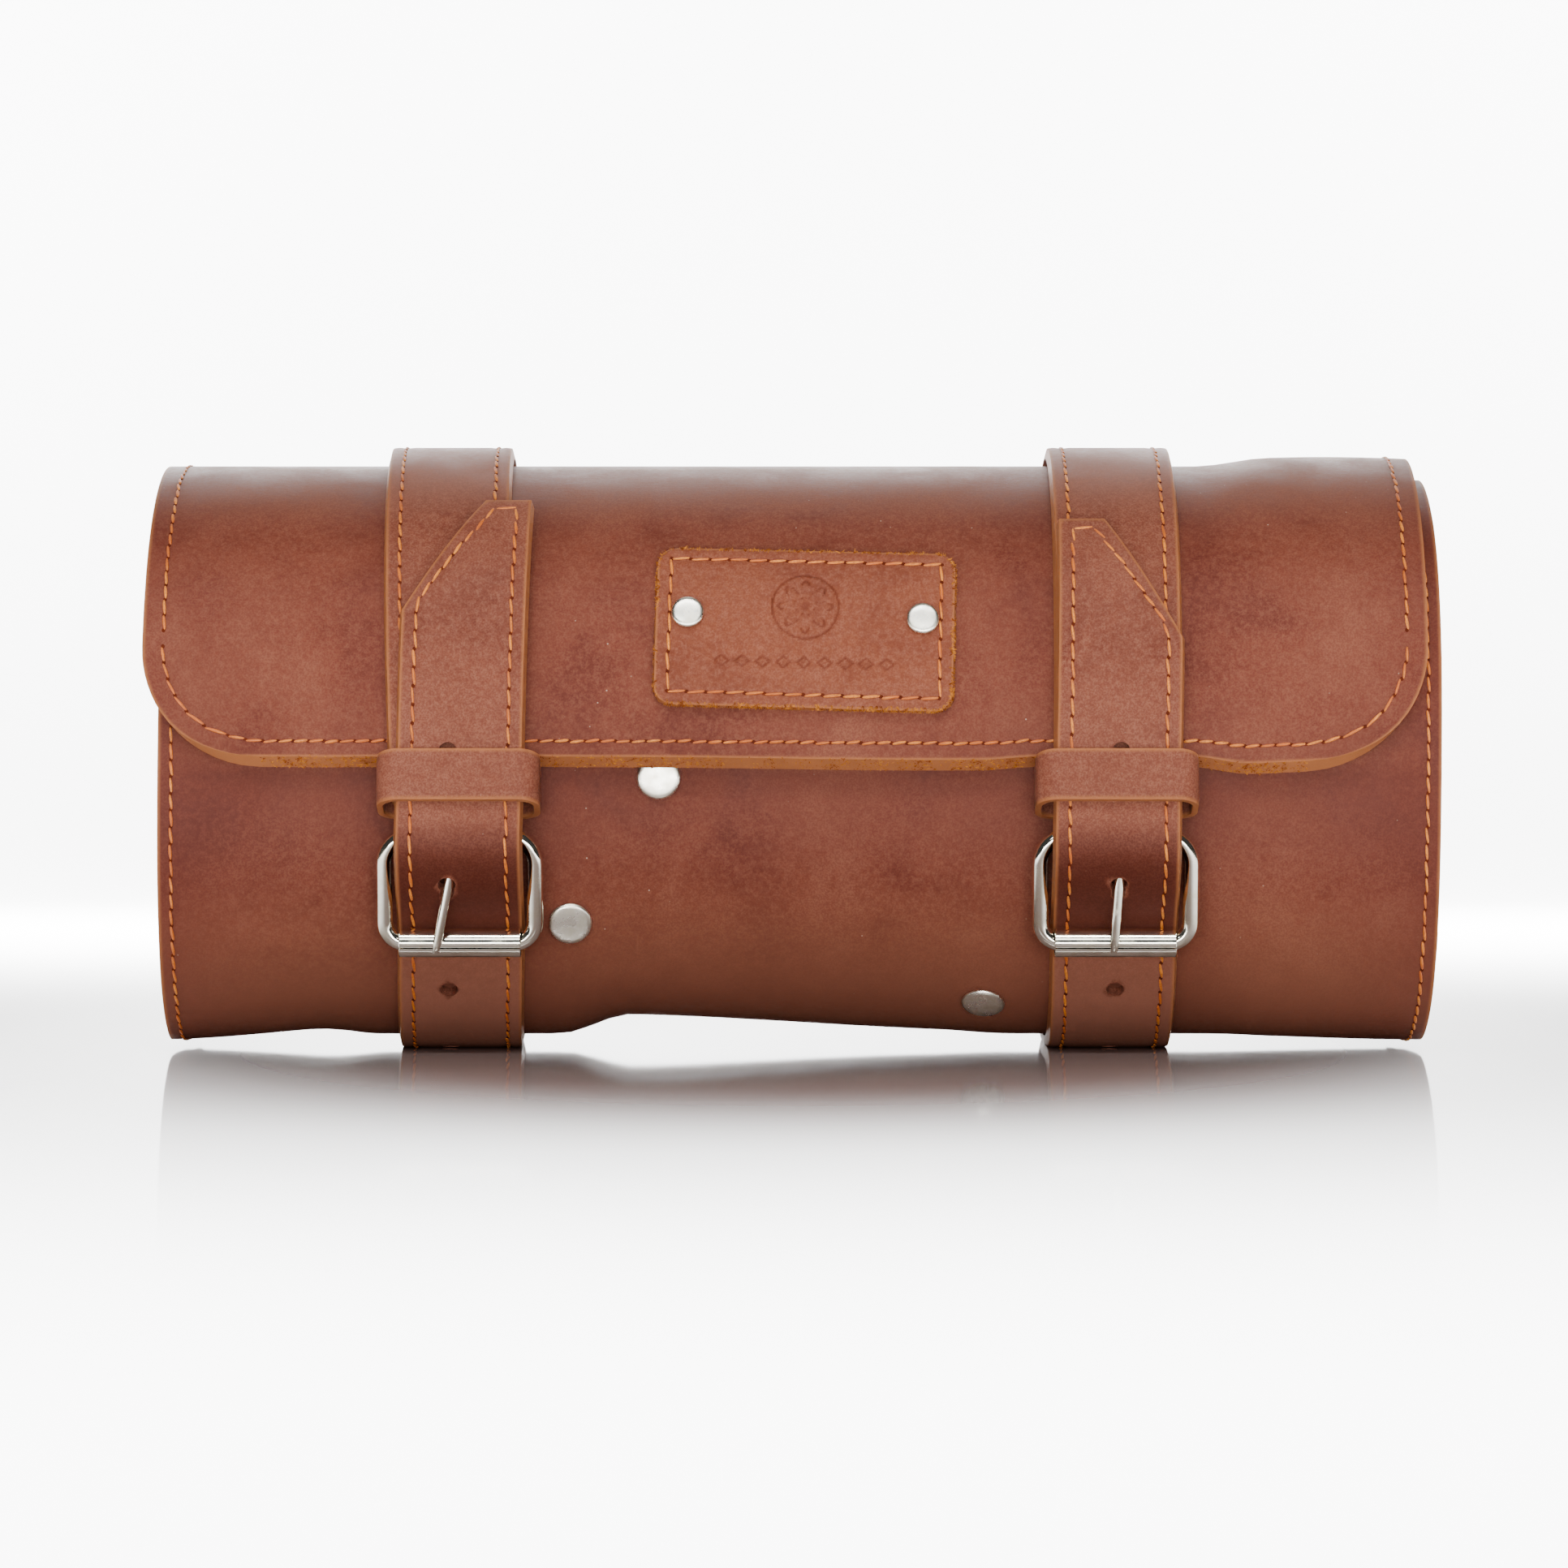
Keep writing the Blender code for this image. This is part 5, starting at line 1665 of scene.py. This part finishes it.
def raw_edge_group():
    """The cut edge of leather: tan fibres in two layers with a dark line between them."""
    inputs = [
        ("Vector", "NodeSocketVector", None),
        ("Rim depth", "NodeSocketFloat", 0.5),
        ("Fibre", "NodeSocketColor", (0.5, 0.28, 0.12, 1)),
        ("Shade", "NodeSocketColor", (0.2, 0.08, 0.03, 1)),
        ("Coarse", "NodeSocketFloat", 0.5),
    ]
    outputs = [("Colour", "NodeSocketColor"), ("Height", "NodeSocketFloat")]
    group, entry, leave = new_group("raw_edge", inputs, outputs)
    w = Wiring(group)
    streaked = w.stretched(entry["Vector"], (0.45, 1.0, 1.0))
    fibres = w.noise(streaked, 1100.0, 4.0, 0.75, 1.5)
    tufts = w.noise(streaked, 480.0, 4.0, 0.7, 0.8)
    between = w.ramp(w.math("ABSOLUTE", w.math("SUBTRACT", entry["Rim depth"], 0.5)), 0.12, 0.03)
    top = w.ramp(entry["Rim depth"], 0.22, 0.04)
    shaded = w.math("MULTIPLY", w.ramp(tufts, 0.54, 0.44), entry["Coarse"])
    colour = w.mix(shaded, entry["Fibre"], entry["Shade"])
    colour = w.mix(w.ramp(fibres, 0.52, 0.64, 0.0, 0.7), colour, (0.32, 0.16, 0.045, 1))
    colour = w.mix(w.math("MULTIPLY", between, 0.75), colour, entry["Shade"])
    colour = w.mix(w.math("MULTIPLY", top, 0.7), colour, (0.34, 0.17, 0.09, 1))
    w.put(leave["Colour"], colour)
    w.put(leave["Height"], w.math("ADD", w.math("MULTIPLY", fibres, 0.6), w.math("MULTIPLY", tufts, 0.6)))
    return group


def bump(nodes, links, height, strength, distance, shader):
    """Feeds a height into a shader's normal."""
    node = nodes.new("ShaderNodeBump")
    node.inputs["Strength"].default_value = strength
    node.inputs["Distance"].default_value = distance
    links.new(height, node.inputs["Height"])
    links.new(node.outputs["Normal"], shader.inputs["Normal"])


def object_coordinates(nodes):
    """The piece's own coordinates."""
    return nodes.new("ShaderNodeTexCoord").outputs["Object"]


def attribute(nodes, name):
    """One of the piece's shading marks."""
    node = nodes.new("ShaderNodeAttribute")
    node.attribute_name = name
    return node.outputs["Fac"]


def hide_material(name, group, colour, dark, light, clouds, dust, pebble, tooled=False):
    """Grain side of one leather, lighter where its edge is rubbed, with painted light and painted shade
    mixed into its colour.
    """
    material, nodes, links, shader = new_material(name)
    w = Wiring(material.node_tree)
    grain = place_group(nodes, group, colour=colour, dark=dark, light=light)
    grain.inputs["Clouds"].default_value = clouds
    grain.inputs["Dust"].default_value = dust
    grain.inputs["Pebble"].default_value = pebble
    links.new(object_coordinates(nodes), grain.inputs["Vector"])
    rubbed = w.ramp(attribute(nodes, "edge_wear"), 0.2, 1.0, 0.0, 0.75)
    # Painted shade mixes the colour toward dark, and painted light mixes it toward light.
    shade_amount = w.math("MULTIPLY", attribute(nodes, "burnish"), 0.6)
    base = w.mix(w.math("MULTIPLY", attribute(nodes, "paled"), 0.9), grain.outputs["Colour"], light)
    base = w.mix(shade_amount, base, dark)
    base = w.mix(rubbed, base, srgb(158, 98, 58))
    if tooled:
        base = w.mix(w.ramp(attribute(nodes, "tooled"), 0.1, 0.9, 0.0, 0.55), base, dark)
    links.new(base, shader.inputs["Base Color"])
    links.new(grain.outputs["Roughness"], shader.inputs["Roughness"])
    shader.inputs["Specular IOR Level"].default_value = 0.06
    bump(nodes, links, grain.outputs["Height"], 0.5, 0.16 * MM, shader)
    return material


def edge_material(name, group, fibre, shade, coarse):
    """Raw cut edge of one leather."""
    material, nodes, links, shader = new_material(name)
    edge = place_group(nodes, group, fibre=fibre, shade=shade, coarse=coarse)
    links.new(object_coordinates(nodes), edge.inputs["Vector"])
    links.new(attribute(nodes, "rim_depth"), edge.inputs["Rim depth"])
    links.new(edge.outputs["Colour"], shader.inputs["Base Color"])
    shader.inputs["Roughness"].default_value = 0.85
    shader.inputs["Specular IOR Level"].default_value = 0.2
    bump(nodes, links, edge.outputs["Height"], 0.8, 0.35 * MM, shader)
    return material


def nickel_material(name, roughness):
    """Polished nickel plate with faint rubbing."""
    material, nodes, links, shader = new_material(name)
    w = Wiring(material.node_tree)
    vector = object_coordinates(nodes)
    rubbed = w.noise(vector, 320.0, 4.0, 0.6)
    pits = w.noise(vector, 1400.0, 3.0, 0.6)
    plate = w.mix(w.ramp(rubbed, 0.4, 0.7), srgb(252, 248, 234), srgb(234, 228, 208))
    links.new(plate, shader.inputs["Base Color"])
    links.new(w.ramp(rubbed, 0.35, 0.7, roughness, roughness + 0.12), shader.inputs["Roughness"])
    shader.inputs["Metallic"].default_value = 1.0
    bump(nodes, links, pits, 0.12, 0.05 * MM, shader)
    return material


def thread_material():
    """Waxed orange-tan thread with its twist."""
    material, nodes, links, shader = new_material("waxed_thread")
    w = Wiring(material.node_tree)
    vector = object_coordinates(nodes)
    ply = w.noise(vector, 2400.0, 2.0, 0.5)
    tone = w.noise(vector, 130.0, 2.0, 0.5)
    colour = w.mix(w.ramp(tone, 0.35, 0.65), srgb(190, 92, 16), srgb(218, 128, 36))
    colour = w.mix(w.ramp(ply, 0.55, 0.35, 0.0, 0.6), colour, srgb(160, 80, 28))
    links.new(colour, shader.inputs["Base Color"])
    shader.inputs["Roughness"].default_value = 0.55
    bump(nodes, links, ply, 0.7, 0.2 * MM, shader)
    return material


def fibre_material():
    """Loose leather fibres, from rust to straw."""
    material, nodes, links, shader = new_material("leather_fibre")
    w = Wiring(material.node_tree)
    tone = w.noise(object_coordinates(nodes), 800.0, 2.0, 0.5)
    colour = w.mix(w.ramp(tone, 0.35, 0.65), srgb(108, 50, 12), srgb(178, 110, 42))
    links.new(colour, shader.inputs["Base Color"])
    shader.inputs["Roughness"].default_value = 0.9
    shader.inputs["Specular IOR Level"].default_value = 0.1
    return material


def needle_hole_shade_material():
    """Painted shade for a needle hole: the dark of its recess, given as a colour."""
    material, nodes, links, shader = new_material("needle_hole")
    w = Wiring(material.node_tree)
    tone = w.noise(object_coordinates(nodes), 700.0, 2.0, 0.5)
    links.new(w.mix(tone, srgb(58, 20, 12), srgb(96, 40, 20)), shader.inputs["Base Color"])
    shader.inputs["Roughness"].default_value = 0.9
    shader.inputs["Specular IOR Level"].default_value = 0.05
    return material


# The room, the lights and the camera

CAMERA_DISTANCE = 1250 * MM
FRAME_WIDTH = 322 * MM
CAMERA_X = -1.7 * MM
CAMERA_BELOW_AXIS = 5.7 * MM
FLOOR_WIDTH = 9.0
FLOOR_FRONT = -3.0
FLOOR_BACK = 1.6
WALL_BEND = 1.2
WALL_HEIGHT = 3.0


def build_stage():
    """A pale floor, polished round the roll, that curves up into a pale wall behind. Close round the roll
    its colour is a dark warm grey: a painted shadow with a painted reflection's tint.
    """
    deselect_all()
    bpy.ops.mesh.primitive_grid_add(x_subdivisions=2, y_subdivisions=40, size=1)
    sweep = bpy.context.object
    sweep.name = "floor"
    for vertex in sweep.data.vertices:
        share = vertex.co.y + 0.5
        x = vertex.co.x * FLOOR_WIDTH
        if share < 0.5:
            vertex.co = (x, FLOOR_FRONT + (FLOOR_BACK - FLOOR_FRONT) * share * 2, 0.0)
        else:
            turn = math.radians(90 * min(1.0, (share - 0.5) * 2.5))
            rise = max(0.0, share - 0.9) * WALL_HEIGHT * 10
            y = FLOOR_BACK + WALL_BEND * math.sin(turn)
            vertex.co = (x, y, WALL_BEND * (1 - math.cos(turn)) + rise)
    smooth(sweep, 60.0)
    material, nodes, links, shader = new_material("pale_floor")
    w = Wiring(material.node_tree)
    shader.inputs["Roughness"].default_value = 0.6
    shader.inputs["Specular IOR Level"].default_value = 0.0
    shader.inputs["Coat Roughness"].default_value = 0.05
    shader.inputs["Coat IOR"].default_value = 1.6
    away = nodes.new("ShaderNodeVectorMath")
    away.operation = "LENGTH"
    links.new(w.stretched(object_coordinates(nodes), (2.2, 1.0, 1.0)), away.inputs[0])
    links.new(w.ramp(away.outputs["Value"], 0.05, 0.70, 0.9, 0.0), shader.inputs["Coat Weight"])
    # Painted shadow: the floor is a dark warm grey near the roll, tinted as a painted reflection of the
    # roll, and pale further out.
    pale = w.ramp(away.outputs["Value"], 0.18, 0.40)
    links.new(w.mix(pale, (0.20, 0.16, 0.15, 1.0), (0.9, 0.9, 0.9, 1.0)), shader.inputs["Base Color"])
    sweep.data.materials.append(material)


def area_light(name, place, target, size, power, spread_angle=180.0):
    """A soft rectangular light at a place, facing a target, with its beam's spread in degrees."""
    data = bpy.data.lights.new(name, "AREA")
    data.spread = math.radians(spread_angle)
    data.shape = "RECTANGLE"
    data.size, data.size_y = size
    data.energy = power
    light = bpy.data.objects.new(name, data)
    light.location = place
    light.rotation_euler = (Vector(target) - Vector(place)).to_track_quat("-Z", "Y").to_euler()
    bpy.context.scene.collection.objects.link(light)


def build_lights():
    """Soft light from above in front, a broad front fill and a bright pale surround."""
    centre = (0.0, 0.0, 0.06)
    area_light("key", (-0.10, -1.35, 0.85), centre, (1.3, 0.3), 8.0)
    area_light("front_fill", (0.20, -1.9, 0.20), centre, (1.4, 0.12), 5.0)
    area_light("low_front", (0.0, -1.6, 0.03), centre, (1.6, 0.08), 15.0)
    area_light("floor_light", (0.0, -0.80, 0.9), (0.0, -0.80, 0.0), (2.4, 0.5), 62.0, 85.0)
    area_light("floor_behind", (0.0, 0.95, 1.2), (0.0, 0.95, 0.0), (3.0, 0.6), 130.0, 75.0)
    for side in (-1, 1):
        place, target = (side * 1.7, 1.2, 1.9), (side * 0.8, 2.9, 0.7)
        area_light(f"backdrop_{side}", place, target, (1.4, 0.6), 230.0, 120.0)
    world = bpy.context.scene.world or bpy.data.worlds.new("surround")
    bpy.context.scene.world = world
    world.use_nodes = True
    background = world.node_tree.nodes["Background"]
    background.inputs["Color"].default_value = (1.0, 1.0, 1.0, 1.0)
    background.inputs["Strength"].default_value = 0.04


def build_camera():
    """A level camera in front of the roll, a little below its axis."""
    data = bpy.data.cameras.new("camera")
    data.sensor_width = 36.0
    data.lens = 36.0 * CAMERA_DISTANCE / FRAME_WIDTH
    data.clip_end = 20.0
    camera = bpy.data.objects.new("camera", data)
    front = SHIFT.y - ROLL_DEPTH / 2
    camera.location = (SHIFT.x + CAMERA_X, front - CAMERA_DISTANCE, SHIFT.z - CAMERA_BELOW_AXIS)
    camera.rotation_euler = (math.pi / 2, 0.0, 0.0)
    bpy.context.scene.collection.objects.link(camera)
    bpy.context.scene.camera = camera


def main():
    """Builds every piece, its materials, the lights and the camera."""
    build_camera()
    grain, raw = hide_group(), raw_edge_group()
    roll_hide = hide_material(
        "roll_hide", grain, srgb(111, 60, 45), srgb(76, 33, 27), srgb(132, 81, 62), 0.7, 0.7, 0.12,
    )
    strap_hide = hide_material(
        "strap_hide", grain, srgb(120, 69, 52), srgb(62, 22, 16), srgb(144, 92, 74), 0.45, 0.4, 0.12,
    )
    patch_hide = hide_material(
        "patch_hide", grain, srgb(124, 69, 48), srgb(84, 37, 25), srgb(148, 93, 74), 0.55, 0.3, 0.6, True,
    )
    roll_edge = edge_material("roll_edge", raw, srgb(80, 41, 12), srgb(30, 10, 4), 1.0)
    strap_edge = edge_material("strap_edge", raw, srgb(206, 160, 94), srgb(146, 96, 46), 0.5)
    nickel, caps = nickel_material("nickel_plate", 0.05), nickel_material("rubbed_nickel", 0.26)
    thread, needle = thread_material(), needle_hole_shade_material()
    build_sheet(roll_hide, roll_edge)
    build_patch(patch_hide, roll_edge)
    build_rivets(caps)
    routes = [StrapRoute(strap) for strap in STRAPS]
    for route in routes:
        build_strap(route, strap_hide, strap_edge)
        build_frame(route.strap, nickel)
        build_roller(route.strap, nickel)
        build_prong(route.strap, nickel)
        build_keeper(route.strap, strap_hide, strap_edge)
    sew(routes, thread, needle)
    build_fibres(fibre_material())
    build_stage()
    build_lights()


main()
